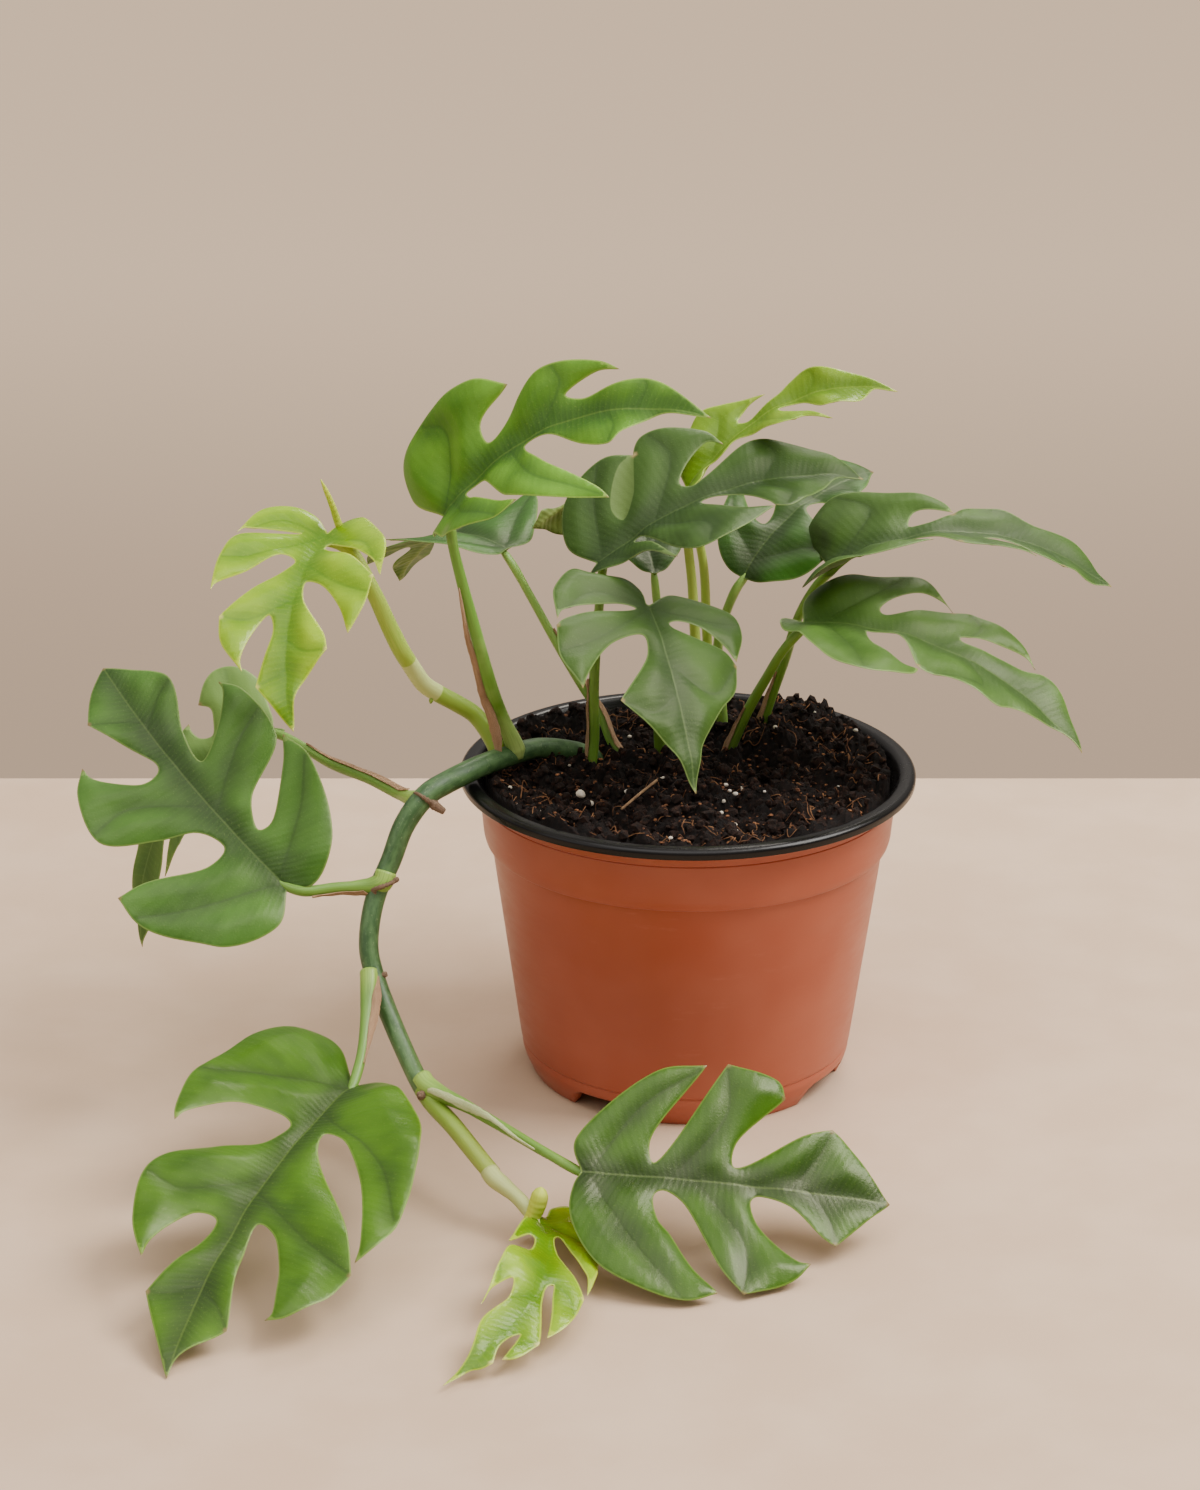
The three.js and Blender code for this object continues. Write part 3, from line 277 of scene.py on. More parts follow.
leaf(
    "vine_lower_left", "green", "lush", "bright",
    base=[-106, -88, 32.5], pose=(-160, -6, -2, 135), shape=(15, 7, -6, -5),
    stalk=[
        [-102.7, -53, 54.9], [-102.6, -56, 52.8], [-102.9, -62, 47.8], [-103.3, -70, 42.1],
        [-104.4, -80, 36.1],
    ],
    left=[
        [[-3.5, 5], [-2.5, 11], [19.5, 33.5], [63.5, 47], [74, 45.5], [82, 40.5]],
        [[75.5, 40], [47, 27], [31, 13.5], [28.5, 6.5], [37.5, 8.5], [71.5, 34], [86.5, 41]],
        [[99, 35.5], [107.5, 28], [109.5, 22.5]],
        [[107, 24], [77, 13], [73.5, 6], [114.5, 12]],
        [[128, 1], [135, 0]],
    ],
    right=[
        [[-17, 15], [-21, 24.5], [-20, 33], [-14.5, 38], [15, 44], [36.5, 39.5], [41.5, 37]],
        [[37, 36], [25, 23.5], [24.5, 9.5], [28, 5.5], [38.5, 8], [46, 20.5], [57.5, 32], [66.5, 34],
         [84.5, 29.5], [99.5, 20.5]],
        [[90, 21], [75.5, 13.5], [75.5, 6.5], [109.5, 15]],
        [[135, 0]],
    ],
    radii=[[0, 3.1], [5, 2.9], [14, 2.2], [26, 1.7]],
)
leaf(
    "vine_lower_right", "green", "rich", "bright",
    base=[-34.5, -132, 24.5], pose=(92, -2.5, 34.5, 94.5), shape=(12, 9, 1, 0),
    stalk=[
        [-85.1, -78.9, 30], [-83.1, -82.2, 28.8], [-78.8, -86.6, 28.2], [-70.6, -94.6, 28],
        [-64, -101.8, 27.5], [-53.4, -113, 26.5], [-44.7, -122, 25.5],
    ],
    left=[
        [[-2.5, 9.5], [21.5, 34], [36, 37]],
        [[20, 11], [21.5, 4.5], [42.5, 38]],
        [[58.5, 34], [60.5, 29]],
        [[46, 12.5], [46, 5.5], [67.5, 18], [75.5, 21]],
        [[79, 18.5], [94.5, 0]],
    ],
    right=[
        [[-2, 4.5], [-2.5, 15.5], [8, 33.5], [32, 42.5], [42, 39]],
        [[35, 32], [27, 19.5], [23.5, 15], [22, 6.5], [24.5, 4.5], [30.5, 7.5], [43, 31], [49.5, 38.5]],
        [[64.5, 31.5], [69.5, 25.5]],
        [[65.5, 25], [53.5, 13.5], [51.5, 5], [53.5, 3], [63, 6], [73.5, 15], [77.5, 17]],
        [[94.5, 0]],
    ],
    radii=[[0, 3.2], [6, 3.1], [12, 2.5], [25, 1.8]],
)
leaf(
    "young_left", "young", "young", "young",
    base=[-116, -5, 186.5], pose=(-172.5, -19, 2.5, 77.5), shape=(33, 12, 4, -6),
    stalk=[
        [-61.5, -3.5, 108.5], [-64, -0.5, 114.5], [-69.8, 3, 121.9], [-75.5, 2, 126.2], [-81.9, 0, 130.7],
        [-86.3, -2, 134.7], [-90.6, -4, 142.3], [-93.3, -6, 147.8], [-96.7, -6.5, 155.4],
        [-102, -7, 168.5], [-110, -5, 182],
    ],
    left=[
        [[-8.5, 4], [8, 23], [25, 27.5]],
        [[16, 21.5], [5, 3], [6.5, 2], [14, 14.5], [24.5, 25]],
        [[35.5, 25], [46, 20.5]],
        [[36, 16.5], [24.5, 7], [23, 2], [30, 3], [45.5, 12.5], [51, 14]],
        [[64.5, 3.5], [77.5, 0]],
    ],
    right=[
        [[-8, 8.5], [-10.5, 17], [-7.5, 24.5], [5, 26.5]],
        [[2.5, 25.5], [1, 8], [6, 25.5], [14.5, 27.5], [30, 26]],
        [[27.5, 25.5], [21.5, 18.5], [12, 9], [15, 4], [27, 13.5], [39.5, 21.5]],
        [[49, 20], [58, 13.5]],
        [[54, 14], [37, 6.5], [42.5, 4.5], [63, 9.5]],
        [[77.5, 0]],
    ],
    radii=[[0, 2.9], [57, 2.9], [80, 2.5]],
)
leaf(
    "young_low", "young", "young", "young",
    base=[-48.5, -129, 9], pose=(-172, 15.5, -21, 94.5), shape=(42, 12, 8, 12),
    stalk=[[-62.7, -115.7, 16.2], [-61.4, -118, 15.2], [-58, -120.6, 13.5], [-53.3, -125.3, 11.5]],
    left=[
        [[0, 3], [-8, 8], [-14, 16.5], [-10, 18.5], [13.5, 16], [44.5, 14]],
        [[31, 11.5], [20, 6.5], [15.5, 3.5], [17.5, 2], [23, 2.5], [30, 5.5], [46.5, 13.5]],
        [[60, 13.5], [67, 11]],
        [[49, 5], [43, 3.5], [44.5, 2], [53, 3], [70.5, 10.5]],
        [[78.5, 8.5], [80, 6]],
        [[71.5, 4.5], [68, 3.5], [70, 2], [76, 2], [82, 4.5]],
        [[84.5, 3], [86, 1], [94.5, 0]],
    ],
    right=[
        [[15.5, 8.5], [32, 13]],
        [[20.5, 6], [21, 4.5], [29.5, 6], [34, 12], [44.5, 13.5], [64, 11]],
        [[56, 11.5], [47.5, 8], [56, 6], [68, 8], [83, 2.5], [94.5, 0]],
    ],
    radii=[[0, 3.0], [5, 2.9], [11, 2.3]],
)

VINE = [
    [-22, 22, 86], [-25, 23, 96.5], [-30, 19.5, 100], [-37, 15.5, 104.5], [-49, 8.5, 108.5],
    [-58.5, -1.5, 109.5], [-66.5, -12, 110.5], [-74, -19.5, 109.5], [-79, -23, 108], [-83.5, -26.5, 106.5],
    [-87.5, -30, 103.5], [-92, -33, 97], [-96, -36.5, 87], [-100.5, -40.5, 77.5], [-102.5, -45, 69.5],
    [-103, -49, 61], [-101.5, -52, 54.5], [-96.5, -60, 44], [-84, -82, 26.5], [-74, -97, 21.5],
    [-62, -115, 15],
]
LAST_JOINT = 199  # along the vine, where its youngest stretch begins

# The rolled leaf on the young left stalk, the clear bead at that stalk's joint, and the rolled lobe at the
# vine's end: a line, then the radii at shares of its length.
SPEAR = [
    [-105, -3, 172], [-109.5, -1, 180], [-113, -2, 190], [-114.1, -4, 195], [-115.7, -6, 200.4],
    [-117.5, -7, 205.2],
]
SPEAR_RADII = [[0, 0.5, 0.72, 0.88, 1], [1.6, 1.3, 1.05, 0.8, 0.2]]
DROPLET = [[-83.9, -2.2, 130.2], [-84.2, -3, 128.2]]
DROPLET_RADIUS = 0.75
BUD = [[-53.5, -132, 3.2], [-51, -131.5, 6.5], [-49.3, -131, 9], [-47.7, -131, 13.5], [-46.6, -131, 18.8]]
BUD_RADII = [[0, 0.3, 0.7, 0.86, 0.95, 1], [0.8, 2.2, 2.8, 2.6, 1.7, 0.4]]

# Rough brown scars where the internodes join, and the stubs of aerial roots beside them as (radius, line).
SCARS = [
    [[-88.6, -29.5, 107.4], [-87, -31.6, 107.6], [-85, -32.6, 106.6], [-83.2, -31.4, 104.6],
     [-82.4, -29.5, 102.6]],
    [[-102.9, -41, 78], [-101.3, -43.5, 79.6], [-98.9, -44.6, 80.9], [-96.1, -43.2, 81.5],
     [-94.2, -40, 81.4]],
]
STUBS = [
    (1.55, [[-83.6, -30, 104.4], [-81, -30.5, 102.6], [-78.9, -30.7, 101.2]]),
    (0.9, [[-95.6, -41, 81.1], [-93.5, -41, 82.3]]),
    (0.7, [[-101.6, -43, 79.9], [-100.7, -43.5, 77.8]]),
    (1.1, [[-99.6, -53.6, 53.6], [-97.1, -53.6, 54.6]]),
    (1.5, [[-84, -85.2, 27.4], [-86.2, -86, 27]]),
]

# The dry scales along the stalks: leaf, from and to as shares of its stalk, facing, width to each side.
SHEATHS = [
    ("middle", 0.2, 0.55, [-1, -0.5, 0], 26),
    ("upper_right", 0.22, 0.52, [-1, -0.9, 0], 30),
    ("lower_right", 0.22, 0.5, [-1, -0.6, 0], 30),
    ("back_left", 0.2, 0.7, [1, -0.5, 0], 40),
    ("vine_back", 0.1, 0.75, [0, 0, 1], 34),
    ("vine_upper", 0.25, 0.75, [0, -0.8, -0.6], 30),
]
# The ones that hang loose or stand off, as [x, y, z, half width] along them.
STRIPS = {
    "tall_left": [
        [-73.8, -16.5, 172.2, 0.3], [-72.6, -16.5, 164.2, 0.7], [-71.2, -15, 154.2, 1.0],
        [-69, -13, 145.1, 1.2], [-67, -10.5, 134.4, 1.4], [-64.2, -8.5, 125.6, 1.6],
        [-62.5, -7.5, 117.6, 1.9], [-62.1, -7.3, 112.5, 1.8], [-62.3, -7.2, 110.1, 1.0],
    ],
    "vine_lower_left": [
        [-99.9, -54.9, 54.4, 0.6], [-99.8, -60, 51.6, 1.7], [-100.4, -65.5, 46.9, 1.6],
        [-101.9, -74, 40.4, 0.9], [-103.3, -81, 36.2, 0.4],
    ],
    "vine_lower_right": [
        [-83.6, -85, 29.3, 1.3], [-78, -91, 30.1, 1.9], [-72.5, -97, 30.2, 1.9],
        [-63, -105.6, 29.6, 1.1], [-54, -117, 28, 0.8], [-48.8, -122, 27, 0.4],
    ],
}

# ---- Curves, tubes and pieces ----


def smooth(points, spacing):
    """Points about spacing apart along the centripetal Catmull-Rom curve through points."""
    given = [np.array(point, float) for point in points]
    padded = [2 * given[0] - given[1], *given, 2 * given[-1] - given[-2]]
    made = []
    for a, b, c, d in zip(padded, padded[1:], padded[2:], padded[3:]):
        before, here, after = (max(np.linalg.norm(q - p), 1e-6) ** 0.5 for p, q in ((a, b), (b, c), (c, d)))
        leave = here * ((b - a) / before - (c - a) / (before + here) + (c - b) / here)
        arrive = here * ((c - b) / here - (d - b) / (here + after) + (d - c) / after)
        for t in np.linspace(0, 1, max(2, math.ceil(here**2 / spacing)), endpoint=False):
            made.append(
                b + leave * t
                + (3 * (c - b) - 2 * leave - arrive) * t**2
                + (leave + arrive + 2 * (b - c)) * t**3
            )
    made.append(given[-1])
    return np.array(made)


def lengths_along(path):
    """The length so far at each point of a path."""
    return np.r_[0, np.cumsum(np.linalg.norm(np.diff(path, axis=0), axis=1))]


def resample(path, count):
    """count + 1 points evenly along a path."""
    lengths = lengths_along(path)
    wanted = np.linspace(0, lengths[-1], count + 1)
    return np.stack([np.interp(wanted, lengths, path[:, axis]) for axis in range(3)], 1)


def frames_along(path):
    """Two directions across a path at each of its points, turned as little as possible."""
    tangents = np.gradient(path, axis=0)
    tangents /= np.linalg.norm(tangents, axis=1)[:, None]
    across = np.cross(tangents[0], [0.3, 0.2, 0.93])
    sides = []
    for tangent in tangents:
        across = across - tangent * (across @ tangent)
        across /= np.linalg.norm(across)
        sides.append(across)
    sides = np.array(sides)
    return sides, np.cross(tangents, sides)


def bands(rows, count):
    """The faces between rows of count points, each row closed."""
    faces = []
    for i in range(rows - 1):
        for j in range(count):
            k = (j + 1) % count
            faces.append([i * count + j, i * count + k, (i + 1) * count + k, (i + 1) * count + j])
    return faces


def on_circle(radius, turn):
    return radius * math.cos(turn), radius * math.sin(turn)


class Shape:
    """Vertices, faces and point attributes that become one piece."""

    def __init__(self):
        self.points, self.faces, self.slots, self.count = [], [], [], 0
        self.marks, self.ribs = [], []

    def add(self, points, faces, slot=0, marks=None, ribs=None):
        """marks and ribs hold three numbers for each point, for the material to read."""
        points = np.asarray(points, float)
        self.points.append(points)
        for kept, given in ((self.marks, marks), (self.ribs, ribs)):
            kept.append(np.zeros((len(points), 3)) if given is None else np.asarray(given, float))
        self.faces += [[self.count + corner for corner in face] for face in faces]
        self.slots += [slot] * len(faces)
        self.count += len(points)

    def tube(self, path, radii, sides=12, slot=0, wobble=0.0):
        """A closed tube, marked with the length so far, the angle round it and the share of its length."""
        across, over = frames_along(path)
        run = lengths_along(path)
        points, marks = [], []
        for i, centre in enumerate(path):
            for turn in np.linspace(0, FULL_TURN, sides, endpoint=False):
                radius = radii[i] * (1 + wobble * math.sin(3 * turn + run[i] / 5))
                points.append(centre + radius * (across[i] * math.cos(turn) + over[i] * math.sin(turn)))
                marks.append([run[i], turn, run[i] / run[-1]])
        faces = bands(len(path), sides)
        ends = len(points)
        last = ends - sides
        points += [path[0], path[-1]]
        marks += [[0, 0, 0], [run[-1], 0, 1]]
        for j in range(sides):
            k = (j + 1) % sides
            faces += [[ends, k, j], [ends + 1, last + j, last + k]]
        self.add(points, faces, slot, marks)

    def piece(self, name, materials, nodes=(), slot=None, is_smooth=True):
        """Makes the object, which rides on the part and stands for the given CAD nodes."""
        mesh = bpy.data.meshes.new(name)
        mesh.from_pydata((np.concatenate(self.points) * MM).tolist(), [], self.faces)
        mesh.polygons.foreach_set("material_index", self.slots)
        mesh.polygons.foreach_set("use_smooth", [is_smooth] * len(self.faces))
        for key, values in (("marks", self.marks), ("ribs", self.ribs)):
            attribute = mesh.attributes.new(key, "FLOAT_VECTOR", "POINT")
            attribute.data.foreach_set("vector", np.concatenate(values).ravel())
        for material in materials:
            mesh.materials.append(material)
        mesh.validate()
        made = bpy.data.objects.new(name, mesh)
        bpy.context.scene.collection.objects.link(made)
        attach(made, "root")
        if nodes:
            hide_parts(*nodes)
        return made


# ---- Materials ----

FINE_SPACING = 1.9  # between the fine parallel veins
LEAF_SHEEN = (1, 1, 0.72, 1)
LEAF_ROUGHNESS_SPREAD = 0.18


def linear(colour):
    """An sRGB colour such as 0x4a7440 as Blender's linear RGBA."""
    parts = [(colour >> shift & 255) / 255 for shift in (16, 8, 0)]
    return [c / 12.92 if c < 0.04045 else ((c + 0.055) / 1.055) ** 2.4 for c in parts] + [1]


class Look:
    """A material with one Principled shader, and short ways to add nodes to it."""

    def __init__(self, name, tint, **constants):
        """tint is the lowest colour, and the others are laid over it."""
        self.material = bpy.data.materials.new(name)
        self.material.use_nodes = True
        self.tree = self.material.node_tree
        self.shader = self.tree.nodes["Principled BSDF"]
        self.place = self.node("TexCoord").outputs["Object"]
        self.tint = tint
        for socket, value in constants.items():
            self.shader.inputs[socket.replace("_", " ")].default_value = value

    def node(self, kind, inputs=(), **settings):
        made = self.tree.nodes.new("ShaderNode" + kind)
        for key, value in settings.items():
            setattr(made, key, value)
        for key, value in dict(inputs).items():
            if isinstance(value, bpy.types.NodeSocket):
                self.tree.links.new(value, made.inputs[key])
            else:
                made.inputs[key].default_value = value
        return made

    def math(self, operation, *values):
        return self.node("Math", enumerate(values), operation=operation).outputs[0]

    def plus(self, rest, value, factor):
        """rest + value * factor."""
        return self.math("ADD", self.math("MULTIPLY", value, factor), rest)

    def blend(self, share, low, high):
        """low where share is 0 and high where it is 1."""
        colours = [linear(tint) if isinstance(tint, int) else tint for tint in (low, high)]
        return self.node("Mix", {0: share, 6: colours[0], 7: colours[1]}, data_type="RGBA").outputs[2]

    def spread(self, value, low, high, start=0.0, end=1.0):
        """value from low to high as a smooth share from start to end."""
        inputs = {"Value": value, "From Min": low, "From Max": high, "To Min": start, "To Max": end}
        return self.node("MapRange", inputs, interpolation_type="SMOOTHSTEP").outputs[0]

    def over(self, tint, *stretch):
        """Lays a tint over the colour so far, by the share that spread makes of the stretch."""
        self.tint = self.blend(self.spread(*stretch), self.tint, tint)

    def noise(self, vector, scale, detail=3.0, roughness=0.55):
        inputs = {"Vector": vector, "Scale": scale, "Detail": detail, "Roughness": roughness}
        return self.node("TexNoise", inputs).outputs["Fac"]

    def scaled(self, vector, x, y, z=0.0):
        return self.node("VectorMath", {0: vector, 1: (x, y, z)}, operation="MULTIPLY").outputs[0]

    def marks(self, key="marks"):
        """The piece's marks as a vector and as three separate values."""
        vector = self.node("Attribute", attribute_name=key).outputs["Vector"]
        parts = self.node("SeparateXYZ", {0: vector}).outputs
        return vector, parts[0], parts[1], parts[2]

    def fine_veins(self, fine):
        """Waves from -1 to 1 across the fine veins."""
        return self.math("SINE", self.math("MULTIPLY", fine, FULL_TURN / FINE_SPACING))

    def finish(self, roughness, height, distance, strength):
        """Links the colour, the roughness and the fine relief, whose distance is in metres."""
        bump = self.node("Bump", {"Height": height, "Strength": strength, "Distance": distance})
        made = {"Base Color": self.tint, "Roughness": roughness, "Normal": bump.outputs[0]}
        for key, socket in made.items():
            self.tree.links.new(socket, self.shader.inputs[key])
        return self.material


def leaf_face(name, deep, body, light, pale, tips, roughness, shine=0.5, line=0.14):
    """The upper face: darker along the veins, lighter outside, with a pale margin and dry finger tips."""
    look = Look(f"leaf_{name}_face", body, IOR=1.45, Specular_IOR_Level=shine, Specular_Tint=LEAF_SHEEN)
    vector, fine, out, edge = look.marks()
    _, rib, tip, _ = look.marks("ribs")
    cloud = look.noise(look.place, 34)
    patches = look.noise(look.scaled(vector, 0.10, 0.03), 1.0)
    grain = look.noise(look.place, 1500, 2.0)
    lines = look.fine_veins(fine)
    unevenness = look.math("SUBTRACT", cloud, 0.5)
    tone = look.plus(look.math("MULTIPLY", patches, 0.5), cloud, 0.75)
    look.over(light, tone, 0.42, 0.85)
    look.over(light, edge, 1.0, 7.0, 0.35, 0.0)
    look.over(deep, look.plus(out, unevenness, 9.0), 0.5, 11.0, 0.8, 0.0)
    look.over(deep, look.plus(rib, unevenness, 5.0), 0.3, 5.0, 0.42, 0.0)
    look.over(light, lines, 0.3, 1.0, 0.0, 0.08)
    look.over(deep, rib, 0.1, 0.8, 0.35, 0.0)
    look.over(pale, out, 0.1, 0.45, line, 0.0)
    look.over(pale, grain, 0.6, 0.75, 0.0, 0.16)
    look.over(pale, edge, 0.1, 0.5, 0.5, 0.0)
    look.over(tips, tip, 0.4, 1.8, 0.8, 0.0)
    height = look.plus(look.math("MULTIPLY", grain, 1.2), lines, 0.25)
    low = roughness - LEAF_ROUGHNESS_SPREAD / 2
    return look.finish(look.plus(low, cloud, LEAF_ROUGHNESS_SPREAD), height, 0.0001, 0.5)


def leaf_back(name, body, rib_tint):
    """The underside: paler and duller, with the veins standing out."""
    look = Look(f"leaf_{name}_underside", body, IOR=1.4)
    _, fine, out, _ = look.marks()
    _, rib, _, _ = look.marks("ribs")
    cloud = look.noise(look.place, 60)
    lines = look.fine_veins(fine)
    look.over(rib_tint, look.plus(cloud, lines, 0.05), 0.35, 0.9)
    look.over(rib_tint, rib, 0.2, 1.2, 0.6, 0.0)
    look.over(rib_tint, out, 0.5, 2.0, 0.9, 0.0)
    height = look.math("ADD", lines, look.noise(look.place, 700))
    return look.finish(look.plus(0.42, cloud, 0.2), height, 0.0001, 0.4)


def stem(name, foot, body, top, streak, joint=None):
    """A green stem: paler towards its foot and its end, with fine lengthwise streaks.

    joint gives the stretch between two joints, from the foot, and its colour.
    """
    look = Look(f"stalk_{name}", foot, IOR=1.42, Coat_Weight=0.1, Coat_Roughness=0.35)
    vector, run, _, share = look.marks()
    lines = look.noise(look.scaled(vector, 0.03, 3.5), 2.5)
    patches = look.noise(look.place, 70)
    look.over(body, share, 0.0, 0.2)
    look.over(top, share, 0.8, 1.0)
    look.over(streak, lines, 0.45, 0.75, 0.0, 0.6)
    look.over(foot, patches, 0.5, 0.8, 0.0, 0.4)
    if joint:
        start, end, pale = joint
        look.tint = look.blend(look.spread(run, start - 0.2, start + 0.2), foot, look.tint)
        after_start = look.spread(run, start, start + 0.4)
        before_end = look.spread(run, end, end + 0.4, 0.9, 0.0)
        look.tint = look.blend(look.math("MULTIPLY", after_start, before_end), look.tint, pale)
    height = look.math("ADD", lines, look.noise(look.place, 1200))
    return look.finish(look.plus(0.3, patches, 0.2), height, 0.0001, 0.5)


def vine_look():
    """Dark glossy green that turns yellow-green towards the young end, with pale streaks."""
    look = Look("vine_skin", 0x35562F, IOR=1.45, Coat_Weight=0.15, Coat_Roughness=0.3)
    vector, run, _, _ = look.marks()
    patches = look.noise(look.scaled(vector, 0.35, 2.0), 0.6, 4.0)
    streaks = look.noise(look.scaled(vector, 0.05, 6.0), 2.0)
    specks = look.noise(look.place, 900, 2.0)
    look.over(0x537646, patches, 0.35, 0.7)
    look.over(0x6F9440, run, LAST_JOINT - 45, LAST_JOINT, 0.0, 0.25)
    look.over(0x86A838, run, LAST_JOINT - 0.3, LAST_JOINT + 0.3)
    look.over(0xA0B44C, run, LAST_JOINT + 5, LAST_JOINT + 40)
    look.over(0x789A62, streaks, 0.5, 0.8, 0.0, 0.3)
    look.over(0x93A377, specks, 0.62, 0.72, 0.0, 0.3)
    return look.finish(look.plus(0.32, patches, 0.2), look.math("ADD", streaks, specks), 0.00015, 0.5)


def sheath_look(name, pale, body, dark, roughness):
    """A dry scale with long fibres."""
    look = Look(name, dark, IOR=1.4)
    vector, _, _, _ = look.marks()
    fine_fibres = look.noise(look.scaled(vector, 0.08, 9.0), 2.0, 5.0, 0.7)
    patches = look.noise(look.place, 140, 4.0)
    look.over(body, fine_fibres, 0.35, 0.6)
    look.over(pale, fine_fibres, 0.5, 0.8)
    look.over(dark, patches, 0.5, 0.75, 0.0, 0.6)
    return look.finish(look.plus(roughness, patches, 0.2), fine_fibres, 0.0003, 0.8)


def pot_look(name, body, worn, roughness, shine=0.5):
    """Moulded plastic with faint scuffs and a slightly uneven gloss."""
    look = Look(name, body, IOR=1.46, Specular_IOR_Level=shine)
    clouds = look.noise(look.place, 16)
    scuffs = look.noise(look.scaled(look.place, 1.0, 1.0, 5.0), 60, 5.0, 0.65)
    dust = look.noise(look.place, 1500, 2.0)
    look.over(worn, clouds, 0.35, 0.7, 0.0, 0.35)
    look.over(worn, scuffs, 0.6, 0.8, 0.0, 0.35)
    height = look.plus(scuffs, dust, 0.3)
    return look.finish(look.plus(roughness - 0.1, scuffs, 0.22), height, 0.00012, 0.35)


def soil_look(name, dark, body, light):
    look = Look(name, dark, IOR=1.35)
    crumbs = look.noise(look.place, 420, 6.0, 0.75)
    patches = look.noise(look.place, 45, 4.0)
    look.over(body, crumbs, 0.35, 0.62)
    look.over(light, crumbs, 0.58, 0.8)
    look.over(dark, patches, 0.45, 0.75, 0.0, 0.55)
    return look.finish(look.plus(0.82, crumbs, 0.15), crumbs, 0.0012, 1.0)


def speckled(name, body, shade, roughness, scale):
    """A plain matt thing with fine mottling: perlite, fibres, sticks and the surface underneath."""
    look = Look(name, shade, IOR=1.4)
    mottle = look.noise(look.place, scale, 4.0)
    look.over(body, mottle, 0.35, 0.7)
    return look.finish(look.plus(roughness, mottle, 0.1), mottle, 0.0004, 0.6)


def made_of(maker, tones):
    """The looks of a table, by their names."""
    return {name: maker(name, *values) for name, values in tones.items()}


# deep, body, light, pale, tips, roughness, shine, line
FACES = made_of(leaf_face, {
    "bright": (0x265010, 0x3E7010, 0x62971E, 0x9CB850, 0x8A7A4A, 0.42),
    "lush": (0x163006, 0x274C02, 0x467204, 0x86A044, 0x7A6040, 0.36),
    "rich": (0x122804, 0x1E4001, 0x3A6404, 0x7E9840, 0x7A6040, 0.34),
    "green": (0x1A3810, 0x284E12, 0x4A7828, 0x86A052, 0x7A5A3C, 0.4),
    "satin": (0x284414, 0x35561A, 0x4C7029, 0x8CA45C, 0x8F7A50, 0.46),
    "grey": (0x1E3811, 0x2A4713, 0x395A1A, 0x7E9856, 0x8F7A50, 0.5, 0.38),
    "muted": (0x17300C, 0x23410E, 0x335218, 0x70884A, 0x8F7A50, 0.46, 0.36),
    "dark": (0x142E06, 0x1C4206, 0x2E6010, 0x6C8642, 0x7A5A3C, 0.44, 0.4),
    # hazy: paler and greyer than the other greens, painted light shining through the thin leaf
    "hazy": (0x3A5A22, 0x4C6E2C, 0x66883C, 0x94AC62, 0x8F7A50, 0.5),
    "fresh": (0x4A6E00, 0x5C8000, 0x769800, 0xB4C850, 0xC9C46A, 0.34),
    "young": (0x3C6C00, 0x689400, 0x94B800, 0xC8D444, 0xC9C46A, 0.26, 0.5, 0),
})
# body, rib
BACKS = made_of(leaf_back, {
    "bright": (0x648A30, 0x90AC54),
    "green": (0x607E40, 0x8BA266),
    "grey": (0x6A8450, 0x93A774),
    "dark": (0x507A2C, 0x7E9E4C),
    "young": (0xA6BE18, 0xCCD850),
    # pale: lighter than the other undersides, painted light shining through the thin leaf
    "pale": (0x88A668, 0xA8BC84),
    "olive": (0x687E38, 0x889C54),
})
# foot, body, top, streak, joint
STALKS = made_of(stem, {
    "bright": (0xB2CC74, 0x6C9C38, 0x84AA4C, 0x4F7A2A),
    "green": (0x9CC054, 0x709A3C, 0x8AAE54, 0x4C7029),
    "dark": (0xA0C458, 0x86AE50, 0xA6C674, 0x567C34),
    "young": (0xA8BC60, 0xAECB54, 0xBED068, 0x8DB044),
    "young_left": (0x8AA83A, 0xA6C048, 0xA6C048, 0x7AAA24, (32.6, 49.0, 0xC8D288)),
    "young_low": (0xBEC67E, 0xBEC67E, 0xBEC67E, 0xA8B862),
})

# ---- Leaf blades ----

MIDRIB_ROUNDING = 4
SIDES = (("right", -1), ("left", 1))

EDGE_STEP = 1.0  # between points of the outline
RIB_STEP = 0.9  # between points of the midrib and the veins
NET_STEP = 1.7  # between points of the rest of the blade
NET_TO_RIB = 1.3
BESIDE_RIB = (0, -0.6, 0.6)

LEAST_FINGER = 0.035  # of the blade's length, for a bend in the outline to count as a finger
PLEAT = (8, 26)  # along the fine veins and across them

# Heights of the relief on a blade 100 long, and the thickness at the edge and inside.
WAVE = 0.6
SWELL = 1.9
BUMP = 0.75
GROOVE = 0.35
RIDGE = 0.8
THIN = 0.25
THICK = 0.55
THICKENING = 2  # how far from the edge the blade reaches its thickness
ROUND_EDGE = 0.12
# The grooves' widths, and how deep the veins' are beside the midrib's.
MIDRIB_WIDTH = 0.9
VEIN_WIDTH = 0.8
VEIN_SHARE = 0.4
# On a blade 100 long: how far in the waves at the edge reach, their two lengths, and how far out the swells
# start from the midrib, the veins and the edge.
WAVE_REACH = 14
WAVE_LENGTHS = (21, 5)
SWELL_START = 6

# The material slots of a leaf.
UPPER, UNDER, STALK = 0, 1, 2


